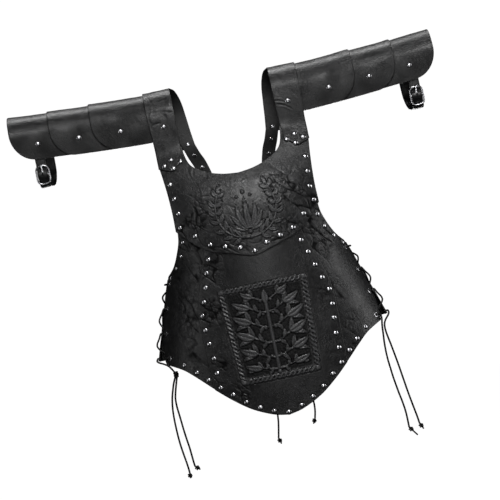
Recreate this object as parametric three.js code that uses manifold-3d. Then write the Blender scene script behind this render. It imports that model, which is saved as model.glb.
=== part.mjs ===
import * as THREE from 'three';
import { mergeVertices } from 'three/addons/utils/BufferGeometryUtils.js';
import Module from 'manifold-3d';

// A laced leather costume vest with shingled arm plates, as worn with the front facing -Y.
// Millimetres, +Z up. The origin is the top of the shoulders, at mid width and mid depth.
// Left is -X, as seen from the front.

const wasm = await Module();
wasm.setup();

// Leather and how its layers stack: layer 0 lies next to the body.
const LEATHER = 2.5;
const GAP = 0.3;
const layer = (number) => number * (LEATHER + GAP);

// Half widths and depths of the body form, from the chest down to the front's lowest point.
const BODY = table('z halfWidth front back', [
  [-94, 236, 54, 52],
  [-120, 232, 61.5, 60],
  [-145, 226.5, 71, 68.5],
  [-172, 217, 84, 77.5],
  [-205, 203, 100, 88],
  [-250, 185, 113, 97.5],
  [-300, 170.5, 119, 102.5],
  [-325, 166.5, 121, 103],
  [-340, 168, 122, 102.5],
  [-360, 174.6, 122.8, 102],
  [-400, 187.2, 124, 101],
  [-450, 203, 126, 102],
  [-500, 218.7, 127.4, 104],
  [-560, 237.6, 127, 106],
  [-626, 258, 123, 108],
]);

// Section over the shoulder, an upside-down U: distance along the leather from its top, depth, height.
const OVER_SHOULDER = table('along depth z', [
  [0, 0, -8.5],
  [17.3, 17, -11.8],
  [35.2, 32, -21.6],
  [54.9, 42, -38.5],
  [77.2, 46, -60.5],
  [110.7, 47, -94],
]);
const BLEND_TOP = -94;
const BLEND_BOTTOM = -150;
const SHOULDER_POINT = 143;
const SLEEVE_REACH = 255;
const SLEEVE_LIFT = 17;
const SLEEVE_BEND = 1.3;
const SLEEVE_GROWTH = 0.1;
const SLEEVE_MIDDLE = -60;

// Outlines of the front, as half widths x at heights z, from the middle outwards or from the top down.
const STRAP_TOP = -112;
const STRAP_TOP_INNER = 91.5;
const STRAP_TOP_OUTER = 139.5;
const NECKLINE = table('x z', [
  [90.5, -120.7],
  [87, -139],
  [80.5, -152],
  [68, -163],
  [50, -172.3],
  [25.5, -180],
  [0, -183.3],
]);
const ARMHOLE = table('x z', [
  [138, -142],
  [135, -165],
  [131, -200],
  [129, -231],
  [129, -262],
]);
const YOKE_HEM = table('x z', [
  [129, -262],
  [104, -289],
  [79, -309.5],
  [53, -318.5],
  [28, -327],
  [12, -332],
  [0, -333.3],
]);
const CENTRE_TOP = table('x z', [
  [84, -284],
  [42, -299],
  [0, -306],
]);
const CENTRE_SIDE = table('x z', [
  [84, -284],
  [92, -318],
  [103, -350],
  [111, -373],
  [118, -398],
  [122.5, -425],
  [122.5, -470],
  [121, -556],
]);
const HEM = table('x z', [
  [0, -626],
  [27, -620],
  [63, -603],
  [94.5, -579.5],
  [121, -556],
  [150, -528.5],
  [171, -511],
]);
const SIDE_OVERLAP = 23;
const SIDE_HEM_INNER = 98;
const SIDE_TOP = table('x z', [
  [70, -290],
  [128, -245],
]);
const SIDE_ARMHOLE = table('x z', [
  [128, -245],
  [129, -262],
  [133, -286],
  [147.5, -320],
]);

// The laced edges of the front and back at the sides, as angles round the body from the middle of the front.
const FRONT_LACED_EDGE = table('z degrees', [
  [-340, 77],
  [-400, 78],
  [-450, 75],
  [-497, 66],
]);
const BACK_LACED_EDGE = table('z degrees', [
  [-345, 97],
  [-490, 92],
]);

// The back: two halves laced together at the middle.
const BACK_TOP_MIDDLE = -312;
const BACK_TOP_SIDE = -345;
const BACK_HEM_MIDDLE = -500;
const BACK_HEM_SIDE = -490;
const BACK_HALF_GAP = 9;
const BACK_STRAP_WIDTH = 24;
const BACK_STRAP = table('x z', [
  [88, -85],
  [81, -105],
  [73.5, -129],
  [63.5, -153],
  [55, -190],
  [48, -235],
  [44, -280],
  [42, -345],
]);
const BACK_STRAP_OUT = -130;
const BACK_STRAP_IN = -290;

// The plate over each shoulder: edges from its front point over the top to its back end.
const SHOULDER_INNER = table('along x', [
  [-154.7, 93.8],
  [-110.7, 92],
  [-53, 91.5],
  [0, 91.5],
  [19, 84],
  [44, 77],
  [72, 73.5],
  [98, 71],
  [131.7, 67],
]);
const SHOULDER_OUTER = table('along x', [
  [-160.1, 138.4],
  [-110.7, 141],
  [-53, 143.6],
  [0, 143.6],
  [19, 143],
  [52, 138],
  [79, 128],
  [108, 120],
  [131.7, 111],
]);
const SHOULDER_POINT_X = 117.5;
const SHOULDER_POINT_ALONG = -169.1;

// The three plates down each arm: inner end, hidden under the next plate, outer end and lower edge in front.
const ARM_PLATES = table('number inner outer z', [
  [1, 104, 247, -92.2],
  [2, 181, 324, -87.5],
  [3, 258, 398, -80.5],
]);
const PLATE_BACK_SHORT = 8;
const PLATE_CORNER_LONG = 42;
const PLATE_CORNER_HIGH = 48;
const PLATE_CORNER_STEPS = 5;
const PLATE_ROW_LEAST = 4;

// Where the plates have their rows of corners: distances along the leather from its top.
const PLATE_ROWS = [0, 10, 20, 30, 40, 52, 64];
const SHOULDER_PLATE_ROWS = [...PLATE_ROWS, 78, 92, 104, 114, 124];
const SHOULDER_FRONT_ROWS = [134, 146];
const SHOULDER_BACK_ROWS = [131.7];

// Eyelets and lace.
const LACE = 3;
const EYELET_RADIUS = 2.9;
const EYELET_INSET = 11;
const BACK_EYELET_INSET = 10;
const SIDE_EYELETS = [-354, -398, -442, -486];
const BACK_EYELETS = [-336, -386, -436, -486];

// Height off the body at which the two strands of a lacing pass the middle of its gap, row by row.
const SIDE_CROSSINGS = table('first second', [
  [5.5, -3.4],
  [7, 0.8],
  [0.5, 7],
]);
const BACK_CROSSINGS = table('first second', [
  [0.5, -3.4],
  [5, 0.8],
  [0.5, 5],
]);

// The lace round the strip between an eyelet and the edge, from inside to outside.
const EYELET_TURN = table('distance height', [
  [3, -2.4],
  [0.3, -1.5],
  [-0.6, LEATHER / 2],
  [0.3, LEATHER + 1.3],
  [3, LEATHER + 2.3],
]);
const OVER_EDGE = LEATHER + LACE / 2 + 0.7;
const UNDER_EDGE = -LACE / 2 - 0.7;
const EDGE_CROSSING = 0.16;

// The left lace goes on from its two lowest eyelets to a knot that gathers it, as places on the right.
const LEFT_LACE_FRONT_END = table('x y z', [
  [199.8, -56.4, -488],
  [199, -61, -493.5],
  [196.6, -63.3, -499.5],
  [192.8, -61, -506],
  [189.8, -57.2, -510.9],
]);
const LEFT_LACE_BACK_END = table('x y z', [
  [219.2, 8.2, -487],
  [219.3, 0, -489],
  [215.5, -14, -491.5],
  [208.5, -29, -494],
  [201.5, -41, -497.5],
  [195.7, -47.5, -502.5],
  [191.4, -51.4, -509.4],
  [190.5, -52.3, -511.8],
]);
const GATHER_KNOT = [-187.7, -55, -516.3];
const GATHER_KNOT_RADIUS = 5;

// Free ends of the laces, from where each leaves its lacing down to its knot, and the stub below the knot.
const TAIL_STEP = 9;
const KNOT_OUTLINE = table('radius along', [
  [0, 0],
  [1.5, 0],
  [3.4, 1.6],
  [3.8, 4],
  [3.2, 6.4],
  [1.5, 7.8],
]);
const TAILS = [
  {
    name: 'left_outer',
    stub: [-0.5, 0, -10],
    route: table('x y z', [
      [-190.3, -54.6, -521.2],
      [-193.4, -54.3, -527.5],
      [-196.4, -54, -534.5],
      [-198.9, -53.8, -542],
      [-201.8, -53.5, -551],
      [-204.2, -53.2, -560.5],
      [-206.4, -52.9, -573],
      [-207.8, -52.6, -588],
      [-208.2, -52.3, -606],
      [-207.9, -52, -624.5],
      [-207.2, -51.8, -639],
      [-206, -51.6, -652],
      [-204.2, -51.4, -666],
      [-202.4, -51.2, -679.5],
      [-201.2, -51.1, -691],
      [-200.8, -51, -698.5],
    ]),
  },
  {
    name: 'left_inner',
    stub: [8.5, -1, -7.5],
    route: table('x y z', [
      [-187, -56.5, -521.7],
      [-188.8, -57.2, -527],
      [-191, -57.6, -534],
      [-193.5, -57.8, -542],
      [-196, -57.8, -551],
      [-198, -57.6, -561],
      [-198.3, -57.3, -575],
      [-197, -57, -591.5],
      [-196, -56.7, -605],
      [-195, -56.4, -619],
      [-193.3, -56.1, -636],
      [-191.4, -55.8, -652],
      [-190.4, -55.5, -666],
      [-189.5, -55.3, -679.5],
      [-188.6, -55.2, -688.5],
    ]),
  },
  {
    name: 'right_inner',
    stub: [12.5, -2, -17],
    route: table('x y z', [
      [197.7, -57.1, -484.9],
      [198.8, -56.3, -484.8],
      [200.2, -55.6, -485.6],
      [201.4, -55.4, -487.8],
      [202, -56.2, -491.5],
      [201.5, -57.4, -496.5],
      [200.4, -57.8, -503],
      [199.4, -57.2, -511],
      [198.6, -56.4, -523],
      [197.4, -55.6, -537],
      [196.9, -55, -551],
      [197, -54.5, -565],
      [197.9, -54, -579],
      [200.4, -53.5, -605.5],
      [204.2, -53, -633],
      [207.4, -52.6, -652],
      [209.4, -52.3, -669],
      [209.9, -52, -684],
      [209.8, -52, -700],
    ]),
  },
  {
    name: 'right_outer',
    stub: [5.5, -1, -11.5],
    route: table('x y z', [
      [217.95, 10.9, -484.55],
      [218.8, 9.7, -484.5],
      [219.6, 7.9, -485],
      [220.1, 5.2, -486.5],
      [219.8, 1.2, -489],
      [217.4, -5.4, -492.8],
      [213, -13, -497],
      [208.6, -20, -502],
      [206, -25.5, -509],
      [205.6, -29, -518],
      [207, -31, -530],
      [209.6, -32, -545],
      [214.8, -33, -580],
      [218.6, -33.4, -610],
      [222, -33.8, -637],
      [225.4, -34, -660],
      [229.2, -34.2, -684],
      [231, -34.3, -698.5],
    ]),
  },
  {
    name: 'back_left',
    stub: [3.5, 0, -11.5],
    route: table('x y z', [
      [-15.75, 108.1, -485.8],
      [-14.4, 108.6, -485.8],
      [-13.2, 109.1, -486.7],
      [-12.3, 109.6, -489],
      [-12, 109.9, -493],
      [-12.2, 109.8, -498],
      [-12.5, 109.5, -504.5],
      [-13, 109, -513],
      [-14, 108.5, -525],
      [-15.4, 108, -541],
      [-17, 107.5, -560],
      [-18.4, 107, -580],
      [-19.8, 106.6, -603],
      [-21, 106.3, -630],
      [-22.6, 106.1, -650],
      [-25.4, 106, -666],
      [-29.2, 106, -684],
    ]),
  },
  {
    name: 'back_right',
    stub: [-5, 0, -10],
    route: table('x y z', [
      [15.75, 108.1, -485.8],
      [14.4, 108.6, -485.8],
      [13.3, 109.1, -486.7],
      [12.9, 109.6, -489],
      [13.3, 109.9, -493],
      [14.6, 109.8, -498.4],
      [16.4, 109.5, -504.5],
      [18.6, 109.2, -512],
      [22.4, 108.7, -524],
      [27.6, 108.1, -540],
      [33.4, 107.6, -558],
      [39.2, 107.2, -577],
      [44.6, 106.8, -597],
      [48.8, 106.4, -615],
      [50.6, 106.2, -630],
      [49.8, 106, -646],
      [46.6, 106, -661],
    ]),
  },
];

// Arm strap and buckle, as places on the right arm.
const STRAP_WIDTH = 19;
const STRAP_THICK = 2.3;
const BUCKLE_X = 350;
const STRAP_BACK_X = 340.5;
const FRAME_Y = -52.4;
const FRAME_TOP = -92.6;
const FRAME_BOTTOM = -125.4;
const FRAME_WIDTH = 23.4;
const FRAME_WIRE = 1.6;
const FRAME_CORNER = 6;
const BAR_Z = -108;
const BAR_RADIUS = 1.2;
const PRONG_RADIUS = 1.1;

// Slots for the prong through the straps, as places from the middle bar.
const PRONG_ROOM = 2;
const STRAP_HOLE = table('y z', [
  [-14, -2],
  [-1.4, 9],
]);
const FOLD_SLOT = table('y z', [
  [-8, -3],
  [-0.2, 6],
]);

const leather = new THREE.MeshStandardMaterial({ color: 0x1c1c1e, roughness: 0.42, metalness: 0 });
const lace = new THREE.MeshStandardMaterial({ color: 0x121212, roughness: 0.7, metalness: 0 });
const chrome = new THREE.MeshStandardMaterial({ color: 0xc9cacc, roughness: 0.18, metalness: 1 });

const vest = new THREE.Group();

// Tables and smooth lines

function table(columns, rows) {
  const names = columns.split(' ');
  return rows.map((row) => Object.fromEntries(names.map((name, i) => [name, row[i]])));
}

// Smooth value of one column at a place along another, which rises or falls down the table.
function lookup(rows, key, column, place) {
  const way = Math.sign(rows[rows.length - 1][key] - rows[0][key]);
  let i = 0;
  while (i < rows.length - 2 && way * (place - rows[i + 1][key]) > 0) i += 1;
  const slope = (a, b) => (rows[b][column] - rows[a][column]) / (rows[b][key] - rows[a][key]);
  const tangent = (j) => slope(Math.max(j - 1, 0), Math.min(j + 1, rows.length - 1));
  const span = rows[i + 1][key] - rows[i][key];
  const t = (place - rows[i][key]) / span;
  if (t < 0) return rows[i][column] + tangent(i) * (place - rows[i][key]);
  if (t > 1) return rows[i + 1][column] + tangent(i + 1) * (place - rows[i + 1][key]);
  const rise = rows[i + 1][column] - rows[i][column];
  const start = tangent(i) * span;
  const end = tangent(i + 1) * span;
  const bend = 3 * rise - 2 * start - end;
  const twist = start + end - 2 * rise;
  return rows[i][column] + t * (start + t * (bend + t * twist));
}

function smoothLine(rows, steps) {
  const points = rows.map(({ x, z }) => new THREE.Vector2(x, z));
  return new THREE.SplineCurve(points).getSpacedPoints(steps);
}

const mirrored = (line) => line.map(({ x, y }) => new THREE.Vector2(-x, y));
const evenly = (steps) => Array.from({ length: steps + 1 }, (unused, i) => i / steps);

// The body form

// Point at an angle round the body, 0 at the middle of the front.
// The body's top runs into the section over the shoulder.
function bodyPoint(angle, z) {
  const cosine = Math.cos(angle);
  const trunk = lookup(BODY, 'z', cosine > 0 ? 'front' : 'back', z) * Math.abs(cosine);
  const depth = THREE.MathUtils.lerp(OVER_SHOULDER.at(-1).depth, trunk, blendAt(z));
  const halfWidth = lookup(BODY, 'z', 'halfWidth', z);
  return new THREE.Vector3(halfWidth * Math.sin(angle), -Math.sign(cosine) * depth, z);
}

const blendAt = (z) => THREE.MathUtils.smoothstep(-z, -BLEND_TOP, -BLEND_BOTTOM);

const angleAt = (x, z) => Math.asin(x / lookup(BODY, 'z', 'halfWidth', z));
const edgeAngle = (rows, z) => THREE.MathUtils.degToRad(lookup(rows, 'z', 'degrees', z));

// Point on the leather over a shoulder or arm, at a distance along it from the top: the front is negative.
function shoulderPoint(x, along) {
  const run = Math.abs(along);
  const last = OVER_SHOULDER.at(-1);
  if (run > last.along) {
    const z = last.z + last.along - run;
    return bodyPoint(along < 0 ? angleAt(x, z) : Math.PI - angleAt(x, z), z);
  }
  const arm = (Math.max(x - SHOULDER_POINT, 0) / SLEEVE_REACH) ** SLEEVE_BEND;
  const depth = lookup(OVER_SHOULDER, 'along', 'depth', run) * (1 + SLEEVE_GROWTH * arm);
  const z = lookup(OVER_SHOULDER, 'along', 'z', run) + SLEEVE_LIFT * arm;
  return new THREE.Vector3(x, Math.sign(along) * depth, z);
}

const bodySurface = (point) => bodyPoint(point.x, point.y);
const shoulderSurface = (point) => shoulderPoint(point.x, point.y);

// Place on a surface moved out along its normal.
function raised(surface, point, height) {
  const onTrunk = surface === bodySurface;
  const step = 0.5;
  const sideStep = onTrunk ? step / 100 : step;
  const at = (dx, dy) => surface(new THREE.Vector2(point.x + dx, point.y + dy));
  const across = at(sideStep, 0).sub(at(-sideStep, 0));
  const down = at(0, step).sub(at(0, -step));
  const normal = across.cross(down).normalize();
  const here = surface(point);
  const middle = onTrunk ? new THREE.Vector3(0, 0, here.z) : new THREE.Vector3(here.x, 0, SLEEVE_MIDDLE);
  if (normal.dot(here.clone().sub(middle)) < 0) normal.negate();
  return here.addScaledVector(normal, height);
}

// Solids

// Grid of points between four edge lines: the two long lines share one count, the two side lines another.
function patch(top, bottom, start, end) {
  const across = top.length - 1;
  const down = start.length - 1;
  const mix = THREE.MathUtils.lerp;
  return start.map((unused, j) => top.map((alsoUnused, i) => {
    const u = i / across;
    const v = j / down;
    const blend = (key) => {
      const topCorners = mix(top[0][key], top[across][key], u);
      const bottomCorners = mix(bottom[0][key], bottom[across][key], u);
      const corners = mix(topCorners, bottomCorners, v);
      return mix(top[i][key], bottom[i][key], v) + mix(start[j][key], end[j][key], u) - corners;
    };
    return new THREE.Vector2(blend('x'), blend('y'));
  }));
}

function closedGeometry(points, faces) {
  const geometry = new THREE.BufferGeometry();
  geometry.setAttribute('position', new THREE.Float32BufferAttribute(points.flatMap((p) => p.toArray()), 3));
  geometry.setIndex(faces);
  return facingOut(geometry);
}

// Turns every face round if the solid's signed volume is negative.
function facingOut(geometry) {
  const position = geometry.attributes.position;
  const index = geometry.index.array;
  const corner = (i) => new THREE.Vector3().fromBufferAttribute(position, index[i]);
  let volume = 0;
  for (let i = 0; i < index.length; i += 3) volume += corner(i).dot(corner(i + 1).cross(corner(i + 2)));
  if (volume < 0) {
    for (let i = 0; i < index.length; i += 3) [index[i], index[i + 1]] = [index[i + 1], index[i]];
  }
  return geometry;
}

// Closed wall from the points of its inner and outer faces, two grids of the same size.
function wall(inner, outer) {
  const rows = inner.length;
  const columns = inner[0].length;
  const id = (face, j, i) => (face * rows + j) * columns + i;
  const faces = [];
  const quad = (a, b, c, d) => faces.push(a, b, c, a, c, d);
  for (let j = 0; j < rows - 1; j += 1) {
    for (let i = 0; i < columns - 1; i += 1) {
      quad(id(1, j, i), id(1, j, i + 1), id(1, j + 1, i + 1), id(1, j + 1, i));
      quad(id(0, j, i), id(0, j + 1, i), id(0, j + 1, i + 1), id(0, j, i + 1));
    }
  }
  for (let i = 0; i < columns - 1; i += 1) {
    quad(id(0, 0, i), id(0, 0, i + 1), id(1, 0, i + 1), id(1, 0, i));
    quad(id(1, rows - 1, i), id(1, rows - 1, i + 1), id(0, rows - 1, i + 1), id(0, rows - 1, i));
  }
  for (let j = 0; j < rows - 1; j += 1) {
    quad(id(1, j, 0), id(1, j + 1, 0), id(0, j + 1, 0), id(0, j, 0));
    quad(id(0, j, columns - 1), id(0, j + 1, columns - 1), id(1, j + 1, columns - 1), id(1, j, columns - 1));
  }
  return closedGeometry([...inner.flat(), ...outer.flat()], faces);
}

// Leather cut to a grid of places on a surface, lying at a height that may change from place to place.
function leatherPanel(surface, grid, height) {
  const face = (extra) => grid.map((row) => row.map((p) => raised(surface, p, height(p) + extra)));
  return wall(face(0), face(LEATHER));
}

// The same solid with places only, its vertices merged and its faces turned out.
function merged(geometry) {
  const bare = geometry.clone();
  bare.deleteAttribute('normal');
  bare.deleteAttribute('uv');
  return facingOut(mergeVertices(bare, 1e-4));
}

function toSolid(geometry) {
  const bare = merged(geometry);
  return new wasm.Manifold(new wasm.Mesh({
    numProp: 3,
    vertProperties: new Float32Array(bare.attributes.position.array),
    triVerts: new Uint32Array(bare.index.array),
  }));
}

function toGeometry(solid) {
  const mesh = solid.getMesh();
  const geometry = new THREE.BufferGeometry();
  geometry.setAttribute('position', new THREE.BufferAttribute(mesh.vertProperties, 3));
  geometry.setIndex(new THREE.BufferAttribute(mesh.triVerts, 1));
  return geometry;
}

function cut(geometry, tools) {
  return toGeometry(tools.reduce((solid, tool) => solid.subtract(toSolid(tool)), toSolid(geometry)));
}

// Cylinder through two points, longer than their distance by the same reach at both ends.
function pin(from, to, radius, reach, sides = 6) {
  const geometry = new THREE.CylinderGeometry(radius, radius, from.distanceTo(to) + 2 * reach, sides);
  const up = new THREE.Vector3(0, 1, 0);
  geometry.applyQuaternion(new THREE.Quaternion().setFromUnitVectors(up, to.clone().sub(from).normalize()));
  const middle = from.clone().lerp(to, 0.5);
  return geometry.translate(middle.x, middle.y, middle.z);
}

// A smooth line with a section at each of its points, so that sections crowd only where it bends.
class Route extends THREE.CatmullRomCurve3 {
  getPointAt(t, target) {
    return this.getPoint(t, target);
  }

  getTangentAt(t, target) {
    return this.getTangent(t, target);
  }
}

function tube(path, steps, radius = LACE / 2, sides = 8) {
  const circle = new THREE.EllipseCurve(0, 0, radius, radius).getPoints(sides);
  const section = new THREE.Shape(circle.slice(0, sides));
  return new THREE.ExtrudeGeometry(section, { steps, bevelEnabled: false, extrudePath: path });
}

const cord = (points) => tube(new Route(points), points.length - 1);
const toPoints = (rows) => rows.map(({ x, y, z }) => new THREE.Vector3(x, y, z));

// Flat strap along points (x, y, z) with its width along X and its thickness across its own direction.
function strap(points) {
  const side = (sign) => points.map((point, i) => {
    const before = points[Math.max(i - 1, 0)];
    const after = points[Math.min(i + 1, points.length - 1)];
    const out = new THREE.Vector3(0, after.z - before.z, before.y - after.y);
    out.setLength(sign * STRAP_THICK / 2);
    return [-1, 1].map((end) => new THREE.Vector3(end * STRAP_WIDTH / 2, 0, 0).add(point).add(out));
  });
  return wall(side(-1), side(1));
}

function add(name, geometry, material) {
  const mesh = new THREE.Mesh(merged(geometry), material);
  mesh.geometry.computeVertexNormals();
  mesh.name = name;
  vest.add(mesh);
}

const bothSides = (make) => [['left', -1], ['right', 1]].forEach(([side, sign]) => make(side, sign));
const toSide = (geometry, sign) => merged(geometry.clone().scale(sign, 1, 1));

// Front panels

const whole = (half) => [...mirrored(half), ...half.slice(0, -1).reverse()];
const onBody = (line) => line.map(({ x, y }) => new THREE.Vector2(angleAt(x, y), y));

function addYoke() {
  const strapSteps = 3;
  const halfSteps = 12;
  const rows = 12;
  const corner = new THREE.Vector2(STRAP_TOP_INNER, STRAP_TOP);
  const outerTop = new THREE.Vector2(STRAP_TOP_OUTER, STRAP_TOP);
  const strapTop = evenly(strapSteps).slice(0, -1).map((t) => outerTop.clone().lerp(corner, t));
  const neck = smoothLine([{ x: STRAP_TOP_INNER, z: STRAP_TOP }, ...NECKLINE], halfSteps - strapSteps);
  const halfTop = [...strapTop, ...neck];
  const halfHem = smoothLine(YOKE_HEM, halfSteps);
  const armhole = smoothLine([{ x: STRAP_TOP_OUTER, z: STRAP_TOP }, ...ARMHOLE], rows);
  const edges = [whole(halfTop), whole(halfHem), mirrored(armhole), armhole];
  const grid = patch(...edges.map(onBody));
  add('yoke_front', leatherPanel(bodySurface, grid, () => layer(2)), leather);
}

function addCentreFront() {
  const halfSteps = 8;
  const rows = 14;
  const side = smoothLine(CENTRE_SIDE, rows);
  const hem = smoothLine(HEM.filter(({ x }) => x <= CENTRE_SIDE.at(-1).x).reverse(), halfSteps);
  const top = smoothLine(CENTRE_TOP, halfSteps);
  const grid = patch(...[whole(top), whole(hem), mirrored(side), side].map(onBody));
  add('centre_front', leatherPanel(bodySurface, grid, () => layer(1)), leather);
}

// Points of a laced edge as places round the body, evenly spaced from the top down.
const lacedEdge = (rows, top, bottom, steps) => evenly(steps).map((t) => {
  const z = THREE.MathUtils.lerp(top, bottom, t);
  return new THREE.Vector2(edgeAngle(rows, z), z);
});

function sideFrontGrid() {
  const topSteps = 4;
  const armholeSteps = 6;
  const rows = 10;
  const edge = lacedEdge(FRONT_LACED_EDGE, FRONT_LACED_EDGE[0].z, FRONT_LACED_EDGE.at(-1).z, rows);
  const cornerAt = ({ x, y }) => ({ x: bodyPoint(x, y).x, z: y });
  const innerSide = CENTRE_SIDE.slice(1, -1).map(({ x, z }) => ({ x: x - SIDE_OVERLAP, z }));
  const hemStart = { x: SIDE_HEM_INNER, z: lookup(HEM, 'x', 'z', SIDE_HEM_INNER) };
  const inner = smoothLine([SIDE_TOP[0], ...innerSide, hemStart], rows);
  const topLine = [
    ...onBody(smoothLine(SIDE_TOP, topSteps)).slice(0, -1),
    ...onBody(smoothLine([...SIDE_ARMHOLE, cornerAt(edge[0])], armholeSteps)),
  ];
  const hemLine = [hemStart, ...HEM.filter(({ x }) => x > hemStart.x), cornerAt(edge.at(-1))];
  return patch(topLine, onBody(smoothLine(hemLine, topSteps + armholeSteps)), onBody(inner), edge);
}

function backGrid() {
  const columns = 12;
  const rows = 6;
  const middleAngle = (z) => Math.PI - angleAt(BACK_HALF_GAP, z);
  const sideTop = new THREE.Vector2(edgeAngle(BACK_LACED_EDGE, BACK_TOP_SIDE), BACK_TOP_SIDE);
  const sideHem = new THREE.Vector2(edgeAngle(BACK_LACED_EDGE, BACK_HEM_SIDE), BACK_HEM_SIDE);
  const middleTop = new THREE.Vector2(middleAngle(BACK_TOP_MIDDLE), BACK_TOP_MIDDLE);
  const middleHem = new THREE.Vector2(middleAngle(BACK_HEM_MIDDLE), BACK_HEM_MIDDLE);
  const line = (from, to) => evenly(columns).map((t) => from.clone().lerp(to, t));
  const middle = evenly(rows).map((t) => {
    const z = THREE.MathUtils.lerp(BACK_TOP_MIDDLE, BACK_HEM_MIDDLE, t);
    return new THREE.Vector2(middleAngle(z), z);
  });
  const side = lacedEdge(BACK_LACED_EDGE, BACK_TOP_SIDE, BACK_HEM_SIDE, rows);
  return patch(line(sideTop, middleTop), line(sideHem, middleHem), side, middle);
}

// Lacing

// A laced gap: the angles of its two edges, how far in its eyelets lie, their heights and its crossings.
const SIDE_GAP = {
  edges: [(z) => edgeAngle(FRONT_LACED_EDGE, z), (z) => edgeAngle(BACK_LACED_EDGE, z)],
  inset: EYELET_INSET,
  rows: SIDE_EYELETS,
  crossings: SIDE_CROSSINGS,
};
const BACK_GAP = {
  edges: [(z) => Math.PI - angleAt(BACK_HALF_GAP, z), (z) => Math.PI + angleAt(BACK_HALF_GAP, z)],
  inset: BACK_EYELET_INSET,
  rows: BACK_EYELETS,
  crossings: BACK_CROSSINGS,
};

// Place at a distance from one edge of the gap, negative on the leather, and at a height off the body.
function gapPlace(gap, edge, distance, z, height) {
  const [first, second] = gap.edges.map((angle) => angle(z));
  const width = bodyPoint(first, z).distanceTo(bodyPoint(second, z));
  const from = edge === 0 ? first : second;
  const way = edge === 0 ? 1 : -1;
  return raised(bodySurface, new THREE.Vector2(from + way * (second - first) * distance / width, z), height);
}

const throughEyelet = (gap, edge, row) => EYELET_TURN.map(({ distance, height }) => (
  gapPlace(gap, edge, distance - gap.inset, gap.rows[row], height)));

// One strand from the top eyelet down: it goes in there and comes out at each eyelet below, changing sides.
function strand(gap, startEdge, name) {
  const points = throughEyelet(gap, startEdge, 0).reverse();
  gap.crossings.forEach((crossing, row) => {
    const from = row % 2 === 0 ? startEdge : 1 - startEdge;
    const to = 1 - from;
    const [top, bottom] = [gap.rows[row], gap.rows[row + 1]];
    const at = (t) => THREE.MathUtils.lerp(top, bottom, t);
    const halfWidth = gapPlace(gap, 0, 0, at(0.5), 0).distanceTo(gapPlace(gap, 1, 0, at(0.5), 0)) / 2;
    points.push(gapPlace(gap, from, 0, at(EDGE_CROSSING), row === 0 ? UNDER_EDGE : OVER_EDGE));
    points.push(gapPlace(gap, from, halfWidth, at(0.5), crossing[name]));
    points.push(gapPlace(gap, to, 0, at(1 - EDGE_CROSSING), UNDER_EDGE));
    points.push(...throughEyelet(gap, to, row + 1));
  });
  return points;
}

function lacingPoints(gap) {
  const first = strand(gap, 0, 'first');
  const second = strand(gap, 1, 'second');
  const z = gap.rows[0];
  const bar = [0, 1].map((edge) => gapPlace(gap, edge, 0, z, OVER_EDGE));
  const halfWidth = bar[0].distanceTo(bar[1]) / 2;
  const barMiddle = gapPlace(gap, 0, halfWidth, z, OVER_EDGE - 1);
  return [...first.reverse(), bar[0], barMiddle, bar[1], ...second];
}

const eyeletTools = (gap, edge) => gap.rows.map((z) => (
  pin(gapPlace(gap, edge, -gap.inset, z, 0), gapPlace(gap, edge, -gap.inset, z, LEATHER), EYELET_RADIUS, 2)));

function addSidesAndBack() {
  const front = cut(leatherPanel(bodySurface, sideFrontGrid(), () => layer(0)), eyeletTools(SIDE_GAP, 0));
  const backHoles = [...eyeletTools(SIDE_GAP, 1), ...eyeletTools(BACK_GAP, 0)];
  const back = cut(leatherPanel(bodySurface, backGrid(), () => layer(0)), backHoles);
  bothSides((side, sign) => {
    add(`side_front_${side}`, toSide(front, sign), leather);
    add(`back_${side}`, toSide(back, sign), leather);
  });
}

function addLacing() {
  const side = lacingPoints(SIDE_GAP);
  const gathered = [...toPoints(LEFT_LACE_BACK_END).reverse(), ...side, ...toPoints(LEFT_LACE_FRONT_END)];
  add('side_lacing_left', toSide(cord(gathered), -1), lace);
  add('side_lacing_right', cord(side), lace);
  add('back_lacing', cord(lacingPoints(BACK_GAP)), lace);
}

function addTails() {
  TAILS.forEach(({ name, route, stub }) => {
    const points = toPoints(route);
    const path = new THREE.CatmullRomCurve3(points);
    add(`tail_${name}`, tube(path, Math.round(path.getLength() / TAIL_STEP)), lace);
    add(`knot_${name}`, knot(points.at(-1), path.getTangentAt(1), new THREE.Vector3(...stub)), lace);
  });
  const gather = new THREE.SphereGeometry(GATHER_KNOT_RADIUS, 10, 7);
  add('knot_left_gather', gather.translate(...GATHER_KNOT), lace);
}

// A tied end: a fat turn of the lace round itself and the short stub that stands out of it.
function knot(end, tangent, stub) {
  const half = LACE / 2;
  const stubEnd = [half, 0].map((radius) => ({ radius, along: stub.length() }));
  const outline = [...KNOT_OUTLINE, ...stubEnd].map(({ radius, along }) => new THREE.Vector2(radius, along));
  const geometry = new THREE.LatheGeometry(outline, 8);
  const direction = stub.clone().normalize();
  geometry.applyQuaternion(new THREE.Quaternion().setFromUnitVectors(new THREE.Vector3(0, 1, 0), direction));
  const place = end.clone().addScaledVector(direction, GAP + half * Math.sin(tangent.angleTo(direction)));
  return geometry.translate(place.x, place.y, place.z);
}

// Straps and plates over the shoulders

// Back strap: places (x, distance along from the top of the shoulder) either side of its middle line.
function backStrapGrid() {
  const rows = 18;
  const middle = smoothLine(BACK_STRAP, rows);
  const alongAt = (z) => {
    const last = OVER_SHOULDER.at(-1);
    return z < last.z ? last.along + last.z - z : lookup(OVER_SHOULDER, 'z', 'along', z);
  };
  return middle.map((point, i) => {
    const before = middle[Math.max(i - 1, 0)];
    const after = middle[Math.min(i + 1, rows)];
    const sideways = after.clone().sub(before).rotateAround(new THREE.Vector2(), Math.PI / 2);
    sideways.setLength(BACK_STRAP_WIDTH / 2);
    return [-1, 0, 1].map((end) => {
      const place = sideways.clone().multiplyScalar(end).add(point);
      return new THREE.Vector2(place.x, alongAt(place.y));
    });
  });
}

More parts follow.
